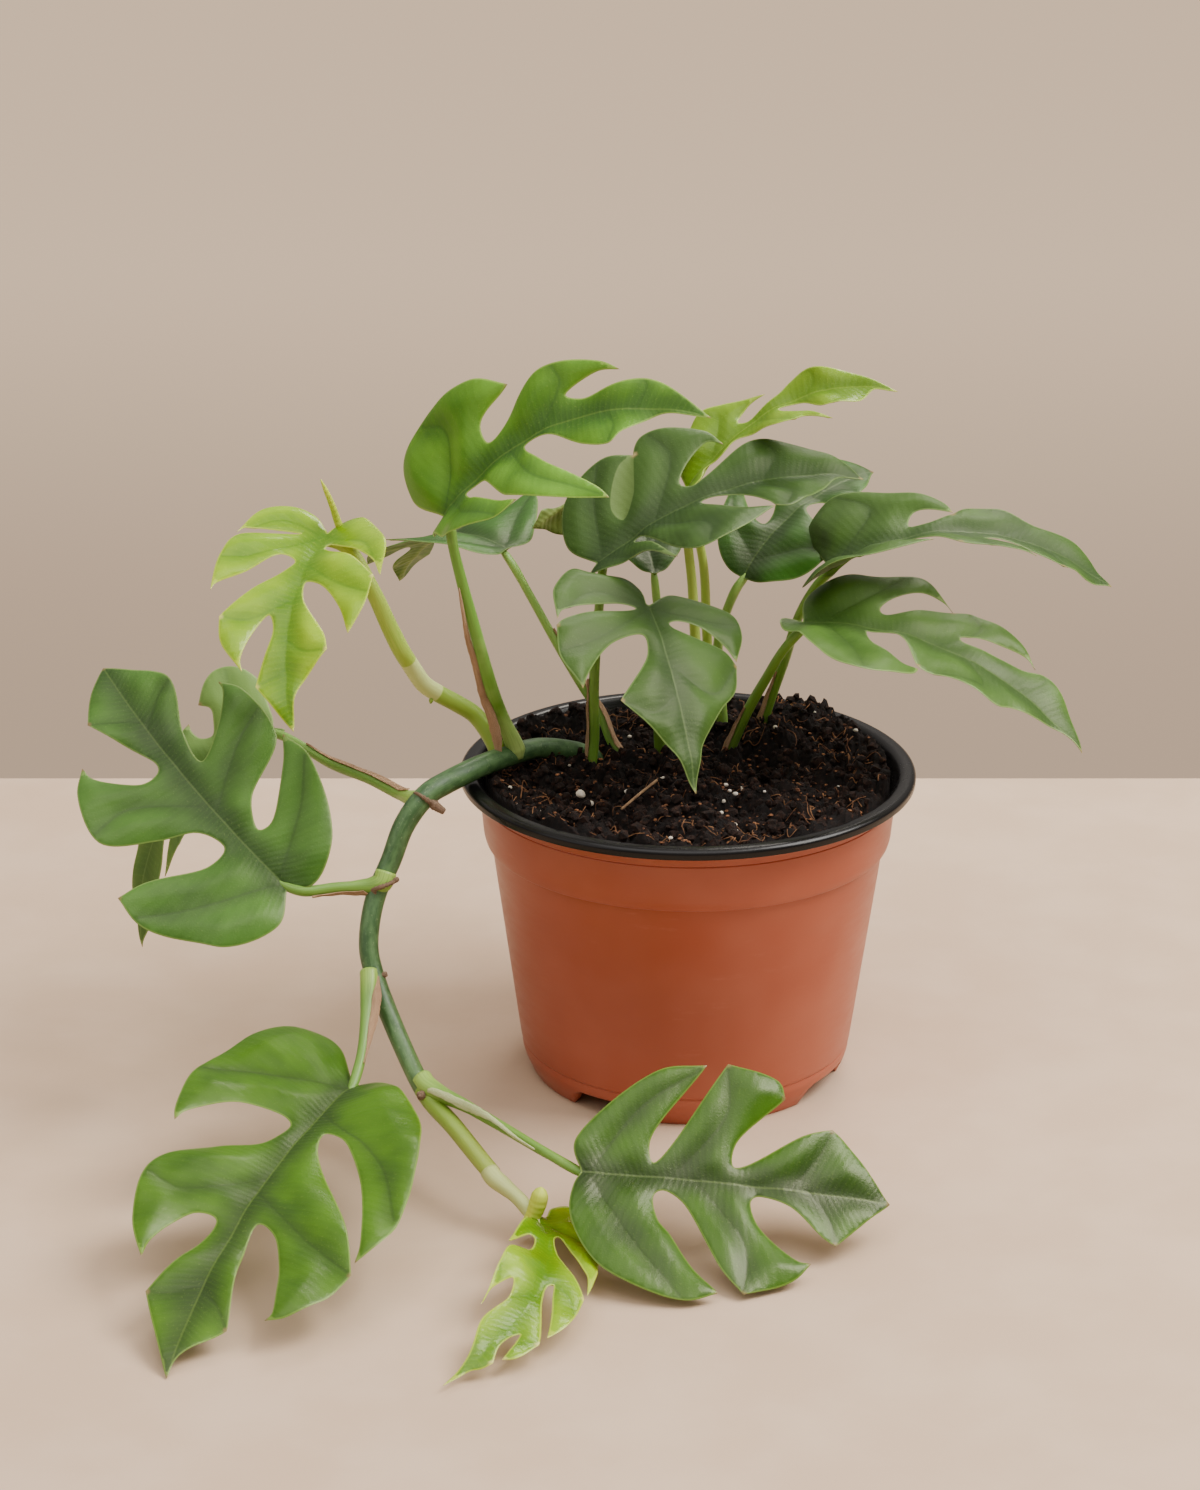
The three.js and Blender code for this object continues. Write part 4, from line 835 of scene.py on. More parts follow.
def blade_surface(leaf):
    """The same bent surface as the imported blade: a function from arrays u, v to points."""
    turn, rise, tip = (math.radians(leaf[key]) for key in ("heading", "pitch", "roll"))
    level = np.array([-math.cos(turn), math.sin(turn), 0])
    along = np.array([math.cos(rise) * math.sin(turn), math.cos(rise) * math.cos(turn), math.sin(rise)])
    upright = np.cross(along, level)
    left = level * math.cos(tip) + upright * math.sin(tip)
    up = upright * math.cos(tip) - level * math.sin(tip)
    length = leaf["length"]
    bend = math.radians(leaf["droop"]) / length

    def surface(u, v):
        u, v = (np.asarray(value, float)[..., None] for value in (u, v))
        bent, turned = bend * u, math.radians(leaf["twist"]) * u / length
        normal = up * np.cos(bent) + along * np.sin(bent)
        across = left * np.cos(turned) + normal * np.sin(turned)
        raised = normal * np.cos(turned) - left * np.sin(turned)
        height = math.tan(math.radians(leaf["fold"])) * (np.hypot(v, MIDRIB_ROUNDING) - MIDRIB_ROUNDING)
        bowed = v + leaf["bow"] * 4 * u * (length - u) / length**2
        middle = np.array(leaf["base"]) + along * np.sin(bent) / bend + up * (np.cos(bent) - 1) / bend
        return middle + across * bowed + raised * height

    return surface


def surface_normal(surface, u, v):
    reach = 0.5
    along = surface(u + reach, v) - surface(u - reach, v)
    across = surface(u, v + reach) - surface(u, v - reach)
    normal = np.cross(along, across)
    return normal / np.linalg.norm(normal, axis=-1)[..., None]


def half_edge(stretches, side):
    start, made = [0, 0], []
    for stretch in stretches:
        points = [start, *([u, side * v] for u, v in stretch)]
        start = points[-1]
        made += smooth(points, EDGE_STEP).tolist()[1:]
    return made


def halves_of(leaf):
    """The right and left edges, from the stalk to the tip."""
    return [np.array(half_edge(leaf[name], side)) * leaf["scale"] for name, side in SIDES]


def distance_to(starts, ends, points):
    """Each point's distance to the nearest of the segments."""
    run = ends - starts
    made = []
    for block in np.array_split(points, max(1, len(points) // 500)):
        share = np.einsum("pcx,cx->pc", block[:, None] - starts, run) / np.maximum((run**2).sum(1), 1e-9)
        nearest = starts + run * np.clip(share, 0, 1)[..., None]
        made.append(np.linalg.norm(block[:, None] - nearest, axis=2).min(1))
    return np.concatenate(made)


def distance_to_edge(contour, points):
    return distance_to(contour, np.roll(contour, -1, 0), points)


def zigzag(values, least):
    """Indices of the peaks and valleys that differ by more than least, starting with a peak."""
    found, is_rising, best = [], True, 0
    for i, value in enumerate(values):
        if (value > values[best]) == is_rising:
            best = i
        elif abs(value - values[best]) > least:
            found.append(best)
            is_rising = not is_rising
            best = i
    return found


def finger_veins(half, length):
    """A vein from the midrib through the middle of each finger of one half."""
    turns = zigzag(np.abs(half[:, 1]), LEAST_FINGER * length)
    bounds = [0, *turns[1::2], len(half) - 1]
    veins = []
    for peak, start, end in zip(turns[::2], bounds, bounds[1:]):
        middle = half[start : end + 1].mean(0)
        root = [max(middle[0] - 0.7 * abs(middle[1]), 0.02 * length), 0]
        veins.append(smooth([root, middle, 0.9 * half[peak] + 0.1 * middle], RIB_STEP))
    return veins


def is_inside(contour, points):
    a, b = contour, np.roll(contour, -1, 0)
    x, y = points[:, 0][:, None], points[:, 1][:, None]
    rises = (a[:, 1] > y) != (b[:, 1] > y)
    with np.errstate(divide="ignore", invalid="ignore"):
        crossing = a[:, 0] + (y - a[:, 1]) * (b[:, 0] - a[:, 0]) / (b[:, 1] - a[:, 1])
    return (rises & (x < crossing)).sum(1) % 2 == 1


def rows_beside(line, offsets):
    """Points along a line in the flat and along its parallels."""
    along = np.gradient(line, axis=0)
    along /= np.linalg.norm(along, axis=1)[:, None]
    side = np.stack([-along[:, 1], along[:, 0]], 1)
    return np.concatenate([line + side * offset for offset in offsets])


def net_over(contour, ribs):
    """Points and triangles that cover the outline evenly. The outline's own points come first."""
    low, high = contour.min(0), contour.max(0)
    net = []
    for i, v in enumerate(np.arange(low[1], high[1], NET_STEP * 0.87)):
        us = np.arange(low[0] + NET_STEP * (i % 2) / 2, high[0], NET_STEP)
        net.append(np.stack([us, np.full(len(us), v)], 1))
    net = np.concatenate(net)
    rows = []
    for rib in ribs:
        net = net[distance_to(rib[:-1], rib[1:], net) > NET_TO_RIB]
        beside = rows_beside(rib, BESIDE_RIB)
        kept = np.ones(len(beside), bool)
        for row in rows:
            kept &= np.linalg.norm(beside[:, None] - row, axis=2).min(1) > 0.5
        rows.append(beside[kept])
    net = np.concatenate([net, *rows])
    net = net[is_inside(contour, net)]
    net = net[distance_to_edge(contour, net) > 0.5 * EDGE_STEP]
    points = np.concatenate([contour, net])
    count = len(contour)
    edges = [(i, (i + 1) % count) for i in range(count)]
    flat = [Vector(point) for point in points.tolist()]
    made, _, triangles, _, _, _ = geometry.delaunay_2d_cdt(flat, edges, [], 1, 1e-5)
    return np.array([list(point) for point in made]), [list(triangle) for triangle in triangles]


def ribs_of(leaf, halves):
    """The midrib, the veins of the fingers, and the fingers' tips."""
    length = leaf["length"]
    us = np.arange(0.5, length, RIB_STEP)
    midrib = np.stack([us, np.zeros(len(us))], 1)
    veins = [vein for half in halves for vein in finger_veins(half, length)]
    corners = [[u, side * v] for name, side in SIDES for u, v in (run[-1] for run in leaf[name])]
    return midrib, veins, np.array(corners) * leaf["scale"]


def vein_marks(length, contour, veins, tips, points):
    """The points' marks: the fine vein there, |v| and the distance to the edge.
    Then their ribs: the distances to the nearest finger's vein and tip, and the share of the length."""
    out = np.abs(points[:, 1])
    fine = (points[:, 0] + 0.75 * out - 0.004 * out**2) / (1 + 1.5 * out / length)
    edge = distance_to_edge(contour, points)
    starts = np.concatenate([vein[:-1] for vein in veins])
    ends = np.concatenate([vein[1:] for vein in veins])
    rib = distance_to(starts, ends, points)
    tip = np.linalg.norm(points[:, None] - tips, axis=2).min(1)
    return np.stack([fine, out, edge], 1), np.stack([rib, tip, points[:, 0] / length], 1)


def relief(points, marks, ribs, size, seed):
    """How far the blade's middle is lifted: waves at the edge, swells between veins, pleats along them."""
    fine, out, edge = marks.T
    near_edge = np.clip(1 - edge / (WAVE_REACH * size), 0, 1) ** 1.5
    long, short = (length * size for length in WAVE_LENGTHS)
    waves = np.sin(fine * 2 * math.pi / long + seed) + 0.6 * np.sin(points[:, 0] / short + 2 * seed)
    start = SWELL_START * size
    off_midrib = 1 - np.exp(-((out / start) ** 2))
    off_vein = 1 - np.exp(-((ribs[:, 0] / start) ** 2))
    swells = off_vein * off_midrib * np.clip(edge / start, 0, 1)
    pleats = np.stack([fine / PLEAT[0], points[:, 1] / PLEAT[1]], 1)
    bumps = np.array([noise.noise(Vector((along, across, seed))) for along, across in pleats.tolist()])
    return size * (WAVE * near_edge * waves + SWELL * swells + BUMP * bumps * off_midrib)


def blade(shape, leaf, seed):
    """Adds the upper face and the underside, which meet in a rounded edge."""
    surface = blade_surface(leaf)
    right, left = halves_of(leaf)
    contour = np.concatenate([[[0, 0]], right, left[-2::-1]])
    count = len(contour)
    midrib, veins, tips = ribs_of(leaf, (right, left))
    points, triangles = net_over(contour, [midrib, *veins])
    marks, ribs = vein_marks(leaf["length"], contour, veins, tips, points)
    normals = surface_normal(surface, points[:, 0], points[:, 1])
    middle = surface(points[:, 0], points[:, 1])
    lift = relief(points, marks, ribs, leaf["length"] / 100, seed)
    taper = np.clip(1 - ribs[:, 2], 0, 1) ** 0.5
    groove = np.exp(-((marks[:, 1] / MIDRIB_WIDTH) ** 2)) * taper
    groove += VEIN_SHARE * np.exp(-((ribs[:, 0] / VEIN_WIDTH) ** 2))
    half = THIN / 2 + (THICK - THIN) / 2 * np.clip(marks[:, 2] / THICKENING, 0, 1)
    top = middle + normals * (lift + half - GROOVE * groove)[:, None]
    bottom = middle + normals * (lift - half - RIDGE * groove)[:, None]
    outward = np.roll(contour, -1, 0) - np.roll(contour, 1, 0)
    outward = np.stack([outward[:, 1], -outward[:, 0]], 1)
    outward /= np.maximum(np.linalg.norm(outward, axis=1), 1e-9)[:, None]
    rim = contour + outward * ROUND_EDGE
    rim_points = surface(rim[:, 0], rim[:, 1]) + normals[:count] * lift[:count, None]
    both_marks, both_ribs = (np.concatenate([values, values[:count]]) for values in (marks, ribs))
    for face, slot, direction in ((top, UPPER, 1), (bottom, UNDER, -1)):
        total = len(face)
        faces = [triangle[::direction] for triangle in triangles]
        for i in range(count):
            j = (i + 1) % count
            faces.append([i, total + i, total + j, j][::direction])
        shape.add(np.concatenate([face, rim_points]), faces, slot, both_marks, both_ribs)


# ---- Stalks, vine and sheaths ----

VINE_RADIUS = 3.4
VINE_TAPER = 0.6
VINE_SWELLING = 0.4
UNDER_BLADE = 18  # how far the stalk goes on as the root of the midrib
UNDER_BLADE_TAPER = 9
# [distance along the midrib, depth under the blade's surface]
ROOT_LINE = [[2, 1.5], [6, 1.3], [11, 1.0], [UNDER_BLADE, 0.7]]


def stalk_line(leaf):
    """The stalk's path and radii. It goes on under the blade as the root of the midrib."""
    surface = blade_surface(leaf)
    under = []
    for u, depth in ROOT_LINE:
        here = surface(np.array([u]), np.array([0]))[0]
        under.append(here - surface_normal(surface, np.array([u]), np.array([0.0]))[0] * depth)
    path = smooth([*leaf["stalk"], *under], 1.0)
    run = lengths_along(path)
    left = run[-1] - UNDER_BLADE - run
    runs, radii = zip(*leaf["radii"], [run[-1], STALK_TOP_RADIUS])
    radii = np.interp(run, runs, radii) * (1 + 0.1 * np.exp(-(((left - 5) / 4) ** 2)))
    return path, radii * np.clip(1 + left / UNDER_BLADE_TAPER, 0.12, 1)


def spear_and_droplet(shape):
    path = smooth(SPEAR, 1.5)
    shape.tube(path, np.interp(np.linspace(0, 1, len(path)), *SPEAR_RADII), slot=UNDER)
    path = smooth(DROPLET, 0.3)
    shape.tube(path, DROPLET_RADIUS * np.sin(np.linspace(0.5, math.pi - 0.3, len(path))), slot=STALK)


def bud(shape):
    path = smooth(BUD, 0.5)
    shape.tube(path, np.interp(np.linspace(0, 1, len(path)), *BUD_RADII), sides=18, slot=UNDER)


GROWTH = {"young_left": spear_and_droplet, "young_low": bud}


def leaves():
    """Each leaf with its stalk, which flares where it clasps the vine, and what grows beside it."""
    for seed, leaf in enumerate(LEAVES):
        name, slot = leaf["name"], leaf["slot"]
        shape = Shape()
        blade(shape, leaf, seed)
        shape.tube(*stalk_line(leaf), sides=16, slot=STALK, wobble=0.02)
        if name in GROWTH:
            GROWTH[name](shape)
        looks = [FACES[leaf["face"]], BACKS[leaf["back"]], STALKS.get(name, STALKS[slot])]
        shape.piece(f"leaf_{name}_fine", looks, [f"leaf_{name}"], f"leaf_{slot}")


def vine():
    """The long stem, a little swollen at the nodes."""
    path = smooth(VINE, 0.7)
    share = np.linspace(0, 1, len(path))
    radii = VINE_RADIUS - VINE_TAPER * share**2 + VINE_SWELLING * np.exp(-(((share - 0.35) / 0.12) ** 2))
    shape = Shape()
    shape.tube(path, radii, sides=36, wobble=0.012)
    shape.piece("vine_fine", [vine_look()], ["vine"], "vine_green")


def node_scars():
    rng = random.Random(SEED)
    shape = Shape()
    for scar in SCARS:
        path = smooth(scar, 0.4)
        thick = 0.75 * np.sin(np.linspace(0.3, math.pi - 0.3, len(path))) ** 0.5
        shape.tube(path, thick * [rng.uniform(0.7, 1.3) for _ in path], sides=9)
    for radius, line in STUBS:
        path = smooth(line, 0.35)
        ends = np.sin(np.linspace(0.9, math.pi - 0.3, len(path))) ** 0.35
        shape.tube(path, radius * ends * [rng.uniform(0.88, 1.12) for _ in path])
    looks = [sheath_look("scar_brown", 0xB09A84, 0x8A6F58, 0x5B4434, 0.7)]
    shape.piece("vine_scars", looks, (), "sheath_brown")


SHEATH_LOOKS = {
    "sheath_brown": sheath_look("sheath_dry", 0xD8B890, 0xBC9876, 0x8C6A4E, 0.6),
    "sheath_pale": sheath_look("sheath_soft", 0xDCE0B8, 0xC6CC96, 0xA4B470, 0.45),
}
SCALE_STEPS = 60
SCALE_GAP = 0.1  # between a stalk and the scale on it
# Round a scale's cross-section: (share of the half width, thickness), over its outside and back inside.
SCALE_SPREADS = np.linspace(-1, 1, 12).tolist()
SCALE_SECTION = [(spread, 0.3) for spread in SCALE_SPREADS]
SCALE_SECTION += [(spread, 0.0) for spread in SCALE_SPREADS[::-1]]
FRONT = np.array([0.05, -0.92, 0.39])


def wrapped_loops(sheath, rng):
    """Cross-sections of a thin scale that lies round its stalk, narrowing to a ragged end."""
    name, low, high, facing, half_width = sheath
    whole, radii = stalk_line(next(leaf for leaf in LEAVES if leaf["name"] == name))
    start, end = (int(share * (len(whole) - UNDER_BLADE)) for share in (low, high))
    path = resample(whole[start:end], SCALE_STEPS)
    radii = np.interp(np.linspace(start, end - 1, SCALE_STEPS + 1), np.arange(len(whole)), radii)
    sides, overs = frames_along(path)
    facing = np.array(facing, float)
    loops = []
    for i, centre in enumerate(path):
        share = i / SCALE_STEPS
        middle = math.atan2(facing @ overs[i], facing @ sides[i])
        width = half_width * (min(1, 8 * share + 0.3) * (1 - share) ** 0.7 + 0.08) * rng.uniform(0.92, 1.08)
        loop = []
        for spread, lift in SCALE_SECTION:
            curl = 0.3 * abs(spread) ** 3 + 0.12 * math.sin(share * 17 + 3 * spread)
            turn = middle + math.radians(spread * width)
            out = sides[i] * math.cos(turn) + overs[i] * math.sin(turn)
            loop.append(centre + out * (radii[i] + SCALE_GAP + curl + lift))
        loops.append(loop)
    return loops


def strip_loops(steps, rng):
    """Cross-sections of a loose strip that faces the front and bulges a little."""
    steps = np.array(steps, float)
    path = resample(smooth(steps[:, :3], 1.0), SCALE_STEPS)
    places = np.linspace(0, len(steps) - 1, SCALE_STEPS + 1)
    widths = np.interp(places, range(len(steps)), steps[:, 3])
    loops = []
    for i, centre in enumerate(path):
        along = path[min(i + 1, SCALE_STEPS)] - path[max(i - 1, 0)]
        side = np.cross(along / np.linalg.norm(along), FRONT)
        width = widths[i] * rng.uniform(0.9, 1.1)
        wave = 0.3 * math.sin(i / 5)
        loop = []
        for spread, lift in SCALE_SECTION:
            bulge = lift + 0.5 * (1 - spread**2) + wave * spread
            loop.append(centre + side * (spread * width) + FRONT * bulge)
        loops.append(loop)
    return loops


def sheaths():
    """Thin dry scales, each one lofted through its cross-sections. The lower right one is still green."""
    rng = random.Random(SEED)
    made = [(sheath[0], wrapped_loops(sheath, rng)) for sheath in SHEATHS]
    made += [(name, strip_loops(steps, rng)) for name, steps in STRIPS.items()]
    count = len(SCALE_SECTION)
    caps = [[*range(count)][::-1], [SCALE_STEPS * count + k for k in range(count)]]
    rows = range(SCALE_STEPS + 1)
    marks = [[row / 2, 2 * spread, row / SCALE_STEPS] for row in rows for spread, _ in SCALE_SECTION]
    for name, loops in made:
        shape = Shape()
        shape.add(np.concatenate(loops), caps + bands(SCALE_STEPS + 1, count), marks=marks)
        slot = "sheath_pale" if name == "vine_lower_right" else "sheath_brown"
        node = "sheath_" + name
        nodes = [node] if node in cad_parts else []
        shape.piece(node + "_fine", [SHEATH_LOOKS[slot]], nodes, slot)


# ---- Pot ----

TURN_STEPS = 180
FOOT_NOTCHES = 4
FIRST_NOTCH = 60
NOTCH_TOP = 6.7
NOTCH_HALF_ANGLE = 13.5
NOTCHED_FROM = 40  # the radius from which the foot has notches
DRAIN_RADIUS = 4
DRAIN_CIRCLE = 38
DRAIN_HEIGHTS = (3.0, 8.0, 13.0)

# [radius, height, radius of the rounding there]
SHELL_PROFILE = [
    [0, 0, 0], [10, 0, 0.4], [12.5, 7.2, 0.8], [51.4, 7.2, 0.6], [50.6, 0, 0.4], [52, 0, 0.4],
    [54.4, 5.2, 2], [55.2, 8, 1], [55.2, 10, 0.3], [55.0, 10.4, 0.2], [55.6, 11, 0.4], [65.0, 81.1, 0.3],
    [65.3, 81.5, 0.15], [66.7, 81.7, 0.5], [67.4, 84, 2], [68.55, 97.2, 0.2], [68.2, 97.5, 0.1],
    [68.7, 97.8, 0.2], [68.9, 99.5, 1.2], [69.5, 100.8, 0.6], [70.5, 102.2, 0.5], [73.6, 102.9, 0.3],
    [73.6, 103.8, 0.3], [71, 103.8, 0.4], [69.6, 102.9, 0.4], [67.9, 99.5, 1], [66.2, 83.6, 0.5],
    [64.3, 81, 0.5], [63.4, 75, 3], [54, 8.1, 1], [0, 8.1, 0],
]
LINING_PROFILE = [
    [0, 8.5, 0], [53.4, 8.5, 0.8], [63.0, 75, 3], [63.9, 81.2, 0.5], [65.8, 83.9, 0.5], [67.4, 99.5, 1],
    [68.5, 102.6, 0.8], [70.6, 104.8, 0.6], [73.2, 104.9, 0.5], [74.2, 104.2, 0.3], [74.2, 102.4, 0.2],
    [75, 102.4, 0.3], [75, 104.7, 0.9], [73.6, 105.7, 1.1], [70.3, 105.7, 1.2], [67.7, 102.8, 1.4],
    [66.7, 99.5, 1], [65.0, 84.2, 0.5], [63.1, 81.4, 0.5], [62.2, 75, 3], [52.6, 9.3, 0.8], [0, 9.3, 0],
]


def rounded(profile):
    """The profile with an arc of the given radius at each corner."""
    made = [profile[0][:2]]
    for before, (x, z, radius), after in zip(profile, profile[1:], profile[2:]):
        corner = np.array([x, z], float)
        arms = [np.array(end[:2], float) - corner for end in (before, after)]
        reach = min(radius, *(0.45 * np.linalg.norm(arm) for arm in arms))
        start, end = (corner + arm / np.linalg.norm(arm) * reach for arm in arms)
        for t in (0, 0.25, 0.5, 0.75, 1):
            made.append(((1 - t) ** 2 * start + 2 * t * (1 - t) * corner + t**2 * end).tolist())
    made.append(profile[-1][:2])
    return made


def notch_lift(turn):
    """How high the foot stops at this angle from the front: 0 on a foot, NOTCH_TOP in a notch."""
    pitch = 360 / FOOT_NOTCHES
    off = (math.degrees(turn) - FIRST_NOTCH + pitch / 2) % pitch - pitch / 2
    return NOTCH_TOP * min(max((NOTCH_HALF_ANGLE - abs(off)) / 4 + 0.5, 0), 1)


def turned(profile, is_notched=False):
    """The rounded profile turned round the Z axis, densely enough to look round."""
    ring = rounded(profile)
    count = len(ring)
    points, faces = [], []
    for i in range(TURN_STEPS):
        turn = FULL_TURN * i / TURN_STEPS
        j = (i + 1) % TURN_STEPS
        for radius, height in ring:
            if is_notched and radius > NOTCHED_FROM and height < NOTCH_TOP:
                height = max(height, notch_lift(turn))
            points.append([radius * math.sin(turn), -radius * math.cos(turn), height])
        for k in range(count - 1):
            faces.append([i * count + k, i * count + k + 1, j * count + k + 1, j * count + k])
    shape = Shape()
    shape.add(points, faces)
    return shape


def weld(piece):
    """Joins the turned profile's doubled points on the axis."""
    mesh = bmesh.new()
    mesh.from_mesh(piece.data)
    bmesh.ops.remove_doubles(mesh, verts=mesh.verts, dist=1e-7)
    bmesh.ops.recalc_face_normals(mesh, faces=mesh.faces)
    mesh.to_mesh(piece.data)
    mesh.free()


def drill(piece):
    """Cuts the drain holes through a pot's floor."""
    cutters = []
    for i in range(FOOT_NOTCHES):
        turn = math.radians(FIRST_NOTCH + 360 * i / FOOT_NOTCHES)
        x, y = DRAIN_CIRCLE * math.sin(turn), -DRAIN_CIRCLE * math.cos(turn)
        shape = Shape()
        line = np.array([[x, y, z] for z in DRAIN_HEIGHTS])
        shape.tube(line, np.full(3, float(DRAIN_RADIUS)), sides=32)
        cutters.append(shape.piece("cutter", []))
        cut = piece.modifiers.new("drain", "BOOLEAN")
        cut.object = cutters[-1]
        cut.solver = "EXACT"
    bpy.context.view_layer.update()
    made = bpy.data.meshes.new_from_object(piece.evaluated_get(bpy.context.evaluated_depsgraph_get()))
    piece.modifiers.clear()
    piece.data = made
    for cutter in cutters:
        bpy.data.objects.remove(cutter)
    for face in made.polygons:
        face.use_smooth = True


def pot():
    terracotta = pot_look("terracotta_plastic", 0xA04B32, 0xBA6E56, 0.36)
    black = pot_look("black_plastic", 0x090809, 0x181617, 0.24, 0.3)
    shell = turned(SHELL_PROFILE, is_notched=True)
    shell = shell.piece("pot_shell_fine", [terracotta], ["pot_shell"], "pot_terracotta")
    lining = turned(LINING_PROFILE).piece("pot_lining_fine", [black], ["pot_lining"], "pot_black")
    for piece in (shell, lining):
        weld(piece)
        drill(piece)


# ---- Soil ----

SOIL_LEVEL = 100
SOIL_RADIUS = 66.6
SOIL_DEPTH = 9  # of the plug under the loose top
SOIL_RINGS = 150
SOIL_AROUND = 400
# (x, y, height, spread) of the packed soil's heap and hollow
MOUNDS = [(34, 39, 9, 18), (26, 8, -6, 11)]
CRUMBS = 4600
HUSKS = 700
SMALL_GRAINS = 45
FIBRES = 270

# Grains of perlite where they show, [x, y, size], and the snapped stick.
GRAINS = [
    [-35, -34, 2.6], [-32, -36, 1.5], [-20, -21, 1.5], [-9, -2, 1.2], [-8, -7, 1], [17, -12, 1.5],
    [15, -21, 1.3], [12, -16, 1.1], [13, -23, 1.2], [11, -28, 1], [9, -31, 1.2], [10, -33, 1],
    [14, -49, 1.2], [14, -46, 0.9], [48, -35, 1], [57, 26, 1.1], [-19, 30, 1], [-16, 25, 1.2],
    [-58, -20, 0.9], [-48, -32, 1.2], [30, 24, 1], [49, -10, 0.8], [-30, -60, 0.8], [-7, -63, 1],
    [33, -62, 0.7], [-39, 3, 0.8], [2, 3, 0.8], [22, -2, 0.8], [44, 38, 0.8], [24, -28, 0.7],
]
STICK = [[-22, -36.5, 104.5], [-16, -28, 106.5], [-10.5, -20, 108]]
STICK_RADIUS = 0.45


def soil_height(x, y):
    """The loose top: the packed soil's heap and hollow, banked up at the wall, with clods and crumbs."""
    lumps = 1.3 * math.sin(x / 7 + 1) * math.cos(y / 8) + 0.9 * math.sin((x + 1.7 * y) / 5)
    for middle_x, middle_y, height, spread in MOUNDS:
        lumps += height * math.exp(-((x - middle_x) ** 2 + (y - middle_y) ** 2) / spread**2)
    bank = 2.2 * math.exp(-(((SOIL_RADIUS - math.hypot(x, y)) / 9) ** 2))

    def grit(size, layer):
        return noise.noise(Vector((x / size, y / size, layer)))

    clods = 7.0 * abs(grit(10, 3.1)) + 4.6 * abs(grit(4.4, 9.4))
    crumbs = 2.3 * abs(grit(1.9, 1.7)) + 1.0 * grit(1, 5.0)
    return SOIL_LEVEL + lumps + bank + clods + crumbs - 1.0


def soil_point(radius, turn):
    x, y = on_circle(radius, turn)
    return [x, y, soil_height(x, y)]


def soil_top():
    """A dense disc of rings over a plain plug."""
    turns = [FULL_TURN * i / SOIL_AROUND for i in range(SOIL_AROUND)]
    points = [[0, 0, soil_height(0, 0)]]
    for ring in range(1, SOIL_RINGS + 1):
        points += [soil_point(SOIL_RADIUS * ring / SOIL_RINGS, turn) for turn in turns]
    points += [[*on_circle(SOIL_RADIUS, turn), SOIL_LEVEL - SOIL_DEPTH] for turn in turns]
    faces = [[0, 1 + i, 1 + (i + 1) % SOIL_AROUND] for i in range(SOIL_AROUND)]
    for ring in range(SOIL_RINGS):
        start = 1 + ring * SOIL_AROUND
        for i in range(SOIL_AROUND):
            j = (i + 1) % SOIL_AROUND
            faces.append([start + i, start + SOIL_AROUND + i, start + SOIL_AROUND + j, start + j])
    shape = Shape()
    shape.add(points, faces)
    shape.piece("soil_top", [soil_look("compost", 0x070504, 0x1B100C, 0x66402C)], ["soil"], "soil")


def icosahedron():
    """The twelve corners of an icosahedron about 1 in radius, and its twenty faces."""
    golden = (1 + 5**0.5) / 2
    pairs = [(s, t * golden) for s in (-1, 1) for t in (-1, 1)]
    corners = [[0, s, t] for s, t in pairs] + [[s, t, 0] for s, t in pairs] + [[t, 0, s] for s, t in pairs]
    corners = np.array(corners, float)
    faces = []
    for a, b, c in itertools.combinations(range(12), 3):
        trio = corners[[a, b, c]]
        if np.linalg.norm(trio - trio[[1, 2, 0]], axis=1).max() < 2.1:
            is_outward = np.cross(trio[1] - trio[0], trio[2] - trio[0]) @ trio.mean(0) > 0
            faces.append([a, b, c] if is_outward else [a, c, b])
    return corners / math.hypot(1, golden), faces


GRAIN_CORNERS, GRAIN_FACES = icosahedron()


def lump(shape, centre, size, rng, flat=1.0):
    """A rough grain: an icosahedron with each corner pushed in or out."""
    corners = GRAIN_CORNERS * np.array([[size * rng.uniform(0.65, 1.25)] for _ in GRAIN_CORNERS])
    spin = Vector([rng.uniform(-1, 1) for _ in range(3)]).to_track_quat("Z", "Y").to_matrix()
    shape.add(corners @ np.array(spin) * [1, 1, flat] + centre, GRAIN_FACES)


def scatter(rng):
    """A random place on the soil."""
    radius, turn = (SOIL_RADIUS - 1) * math.sqrt(rng.random()), rng.uniform(0, FULL_TURN)
    return np.array(soil_point(radius, turn))


def soil_crumbs():
    rng = random.Random(SEED)
    shape = Shape()
    for _ in range(CRUMBS):
        size = 0.35 + 1.9 * rng.random() ** 4
        lump(shape, scatter(rng) + [0, 0, 0.3 * size], size, rng)
    shape.piece("soil_crumbs", [soil_look("crumbs", 0x0C0705, 0x2C1A12, 0x84543A)], (), "soil", False)


def husks():
    """Light brown flakes among the crumbs."""
    rng = random.Random(SEED)
    shape = Shape()
    for _ in range(HUSKS):
        lump(shape, scatter(rng) + [0, 0, 0.5], rng.uniform(0.3, 0.85), rng, 0.5)
    shape.piece("soil_husks", [speckled("husk", 0x96623E, 0x4A2C1C, 0.85, 500)], (), "soil", False)


def perlite():
    rng = random.Random(SEED)
    shape = Shape()
    for x, y, size in GRAINS:
        lump(shape, np.array([x, y, soil_height(x, y) + 0.4 + 0.7 * size]), size, rng, 0.8)
    for _ in range(SMALL_GRAINS):
        lump(shape, scatter(rng) + [0, 0, 0.3], rng.uniform(0.25, 0.7), rng)
    grains = shape.piece("perlite", [speckled("perlite_white", 0xEDE6DA, 0xC9BDAA, 0.8, 800)], (), "soil")
    finer = grains.modifiers.new("round", "SUBSURF")
    finer.levels = finer.render_levels = 1


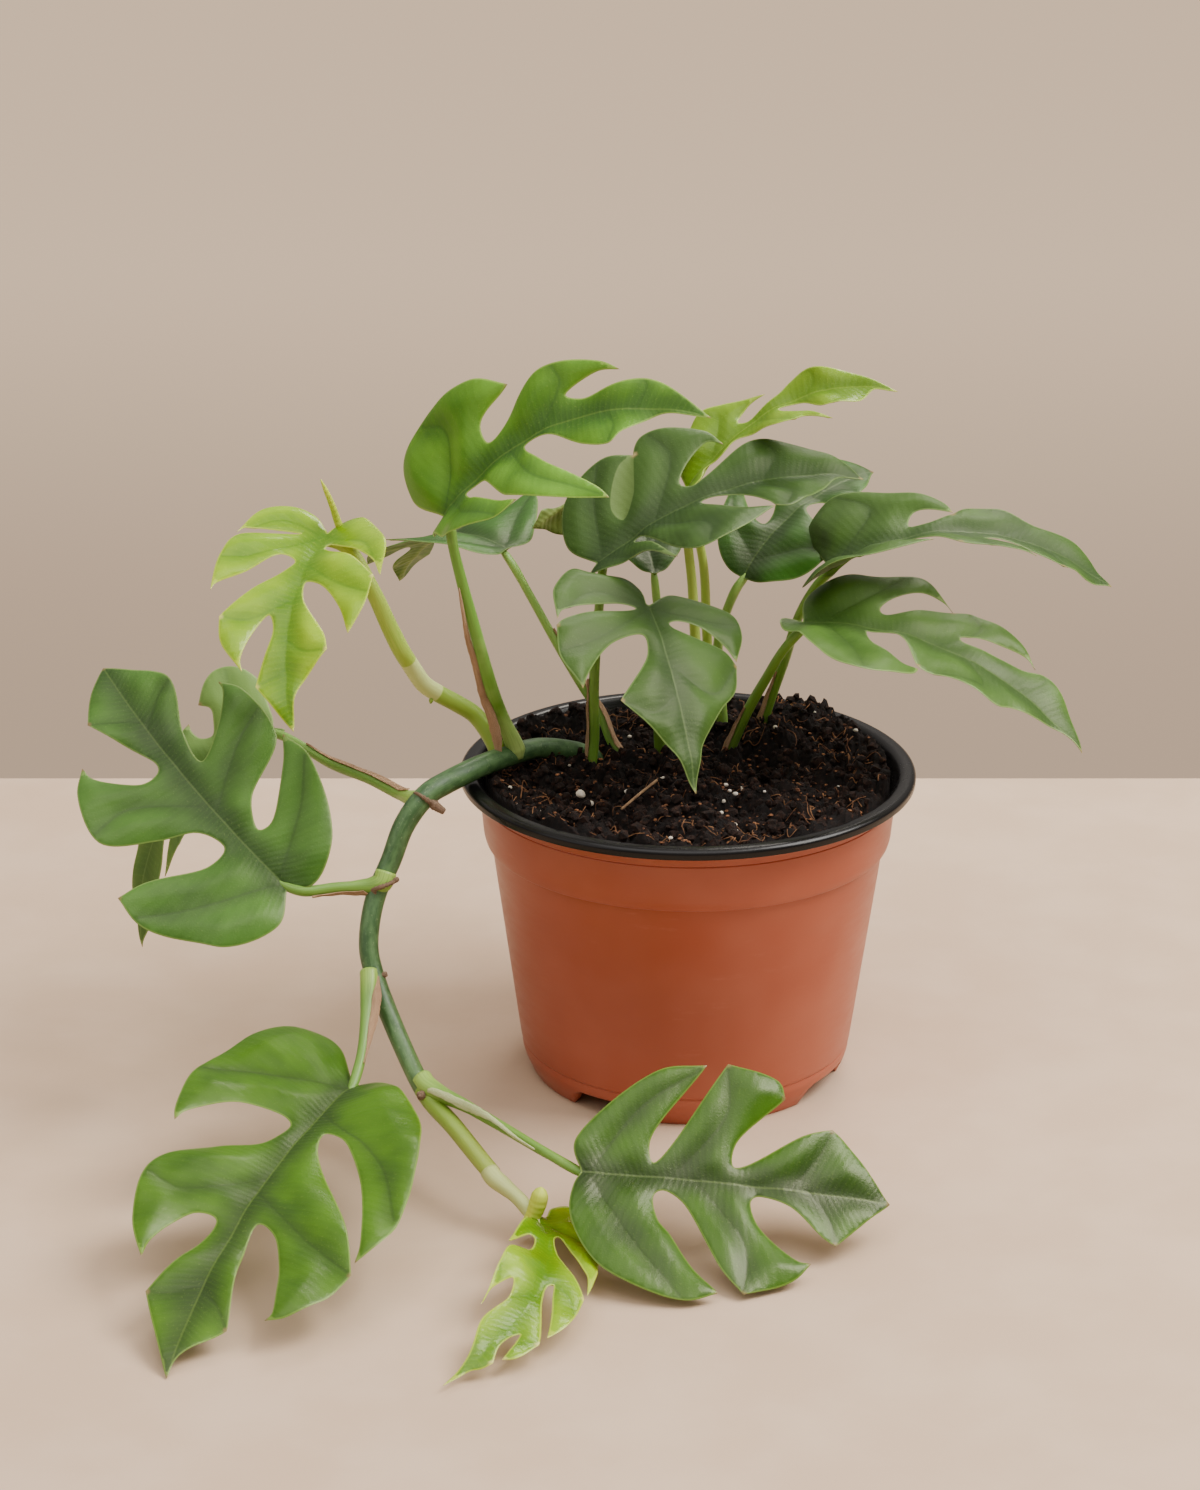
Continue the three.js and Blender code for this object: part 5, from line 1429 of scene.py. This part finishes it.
def fibres():
    """Roots and husk fibres on the soil, half of them near the wall."""
    rng = random.Random(SEED)
    shape = Shape()
    for i in range(FIBRES):
        start = scatter(rng)
        if i % 2:
            turn = rng.uniform(0, FULL_TURN)
            start = on_circle(rng.uniform(50, 65), turn)
        heading, length = rng.uniform(0, FULL_TURN), rng.uniform(3, 11)
        points = []
        for k in range(5):
            heading += rng.uniform(-0.6, 0.6)
            step = length / 4 * k
            x, y = start[0] + step * math.cos(heading), start[1] + step * math.sin(heading)
            pull = min(1, (SOIL_RADIUS - 1) / max(math.hypot(x, y), 1))
            x, y = x * pull, y * pull
            points.append([x, y, soil_height(x, y) + rng.uniform(0.2, 1.6)])
        path = smooth(points, 0.8)
        shape.tube(path, np.linspace(rng.uniform(0.12, 0.28), 0.08, len(path)), sides=5)
    shape.piece("soil_fibres", [speckled("fibre", 0x9C6E48, 0x5E3A24, 0.75, 300)], (), "sheath_brown")


def stick():
    shape = Shape()
    path = smooth(STICK, 1)
    shape.tube(path, np.full(len(path), STICK_RADIUS), sides=8)
    shape.piece("stick", [speckled("stick_wood", 0xB08D68, 0x7A5B40, 0.7, 200)], (), "sheath_brown")


# ---- Surroundings, in metres ----

BACK_EDGE = 0.262  # where the pale surface ends behind the pot
# The wall's light is its own painted glow.
WALL_REACH = 1.3  # where the wall's light has reached its brightest
CAMERA_PLACE = (-0.0289, -1.0472, 0.50423)
CAMERA_LOOKS_DOWN = 20.5
CAMERA_LENS = 82.15


def plane(name, low, high, material):
    mesh = bpy.data.meshes.new(name)
    corners = [(low[0], low[1]), (high[0], low[1]), (high[0], high[1]), (low[0], high[1])]
    mesh.from_pydata([(x, y, 0) for x, y in corners], [], [(0, 1, 2, 3)])
    mesh.materials.append(material)
    made = bpy.data.objects.new(name, mesh)
    bpy.context.scene.collection.objects.link(made)


def lamp(name, place, target, size, power, colour=(1, 1, 1)):
    light = bpy.data.lights.new(name, "AREA")
    light.shape = "RECTANGLE"
    light.size, light.size_y = size
    light.energy = power
    light.color = colour
    made = bpy.data.objects.new(name, light)
    made.location = place
    made.rotation_euler = (Vector(target) - Vector(place)).to_track_quat("-Z", "Y").to_euler()
    bpy.context.scene.collection.objects.link(made)


def glowing_wall_look():
    """The wall behind, which lies flat here: a glowing sheet of painted light, even across and a little
    brighter farther away.
    """
    look = Look("glowing_wall", 0xB2977E, Roughness=0.95, Base_Color=linear(0x3A3128), Emission_Strength=1.0)
    parts = look.node("SeparateXYZ", {0: look.place}).outputs
    look.over(0xEACBAA, parts[1], BACK_EDGE, WALL_REACH)
    # The colour drives the emission, so the wall glows with painted light.
    look.tree.links.new(look.tint, look.shader.inputs["Emission Color"])
    return look.material


def sky():
    """Soft light that is strongest from straight above."""
    world = bpy.data.worlds.new("studio")
    world.use_nodes = True
    tree = world.node_tree
    coordinates = tree.nodes.new("ShaderNodeTexCoord")
    parts = tree.nodes.new("ShaderNodeSeparateXYZ")
    height = tree.nodes.new("ShaderNodeMapRange")
    tree.links.new(coordinates.outputs["Generated"], parts.inputs[0])
    tree.links.new(parts.outputs[2], height.inputs["Value"])
    for key, value in {"From Min": 0.0, "From Max": 1.0, "To Min": 0.12, "To Max": 1.25}.items():
        height.inputs[key].default_value = value
    background = tree.nodes["Background"]
    background.inputs[0].default_value = linear(0xF6EDE4)
    tree.links.new(height.outputs[0], background.inputs[1])
    bpy.context.scene.world = world


def surroundings():
    plane("floor", (-6, -6), (6, BACK_EDGE), speckled("pale_surface", 0xCCB197, 0xC6AA8F, 0.75, 25))
    plane("backdrop", (-9, BACK_EDGE), (9, 9), glowing_wall_look())
    sky()
    lamp("key", (0.95, -0.1, 1.3), (0, 0, 0.1), (0.9, 0.9), 36, (1, 0.97, 0.93))
    lamp("overhead", (-0.1, -0.5, 1.7), (0, -0.05, 0.1), (1.6, 1.2), 12)
    lamp("fill", (-1.2, -0.7, 0.8), (0, 0, 0.1), (1.0, 1.0), 2.5)
    lamp("back", (0.25, 0.85, 1.1), (-0.05, -0.05, 0.05), (0.45, 0.45), 8, (1, 0.94, 0.84))


def camera():
    """The photograph's viewpoint, from about a metre in front."""
    data = bpy.data.cameras.new("camera")
    data.lens = CAMERA_LENS
    data.sensor_width = 36
    data.clip_start, data.clip_end = 0.05, 50
    made = bpy.data.objects.new("camera", data)
    made.location = CAMERA_PLACE
    made.rotation_euler = (math.radians(90 - CAMERA_LOOKS_DOWN), 0, 0)
    bpy.context.scene.collection.objects.link(made)
    bpy.context.scene.camera = made


for build in (camera, surroundings, leaves, vine, node_scars, sheaths, pot):
    build()
for build in (soil_top, soil_crumbs, husks, perlite, fibres, stick):
    build()
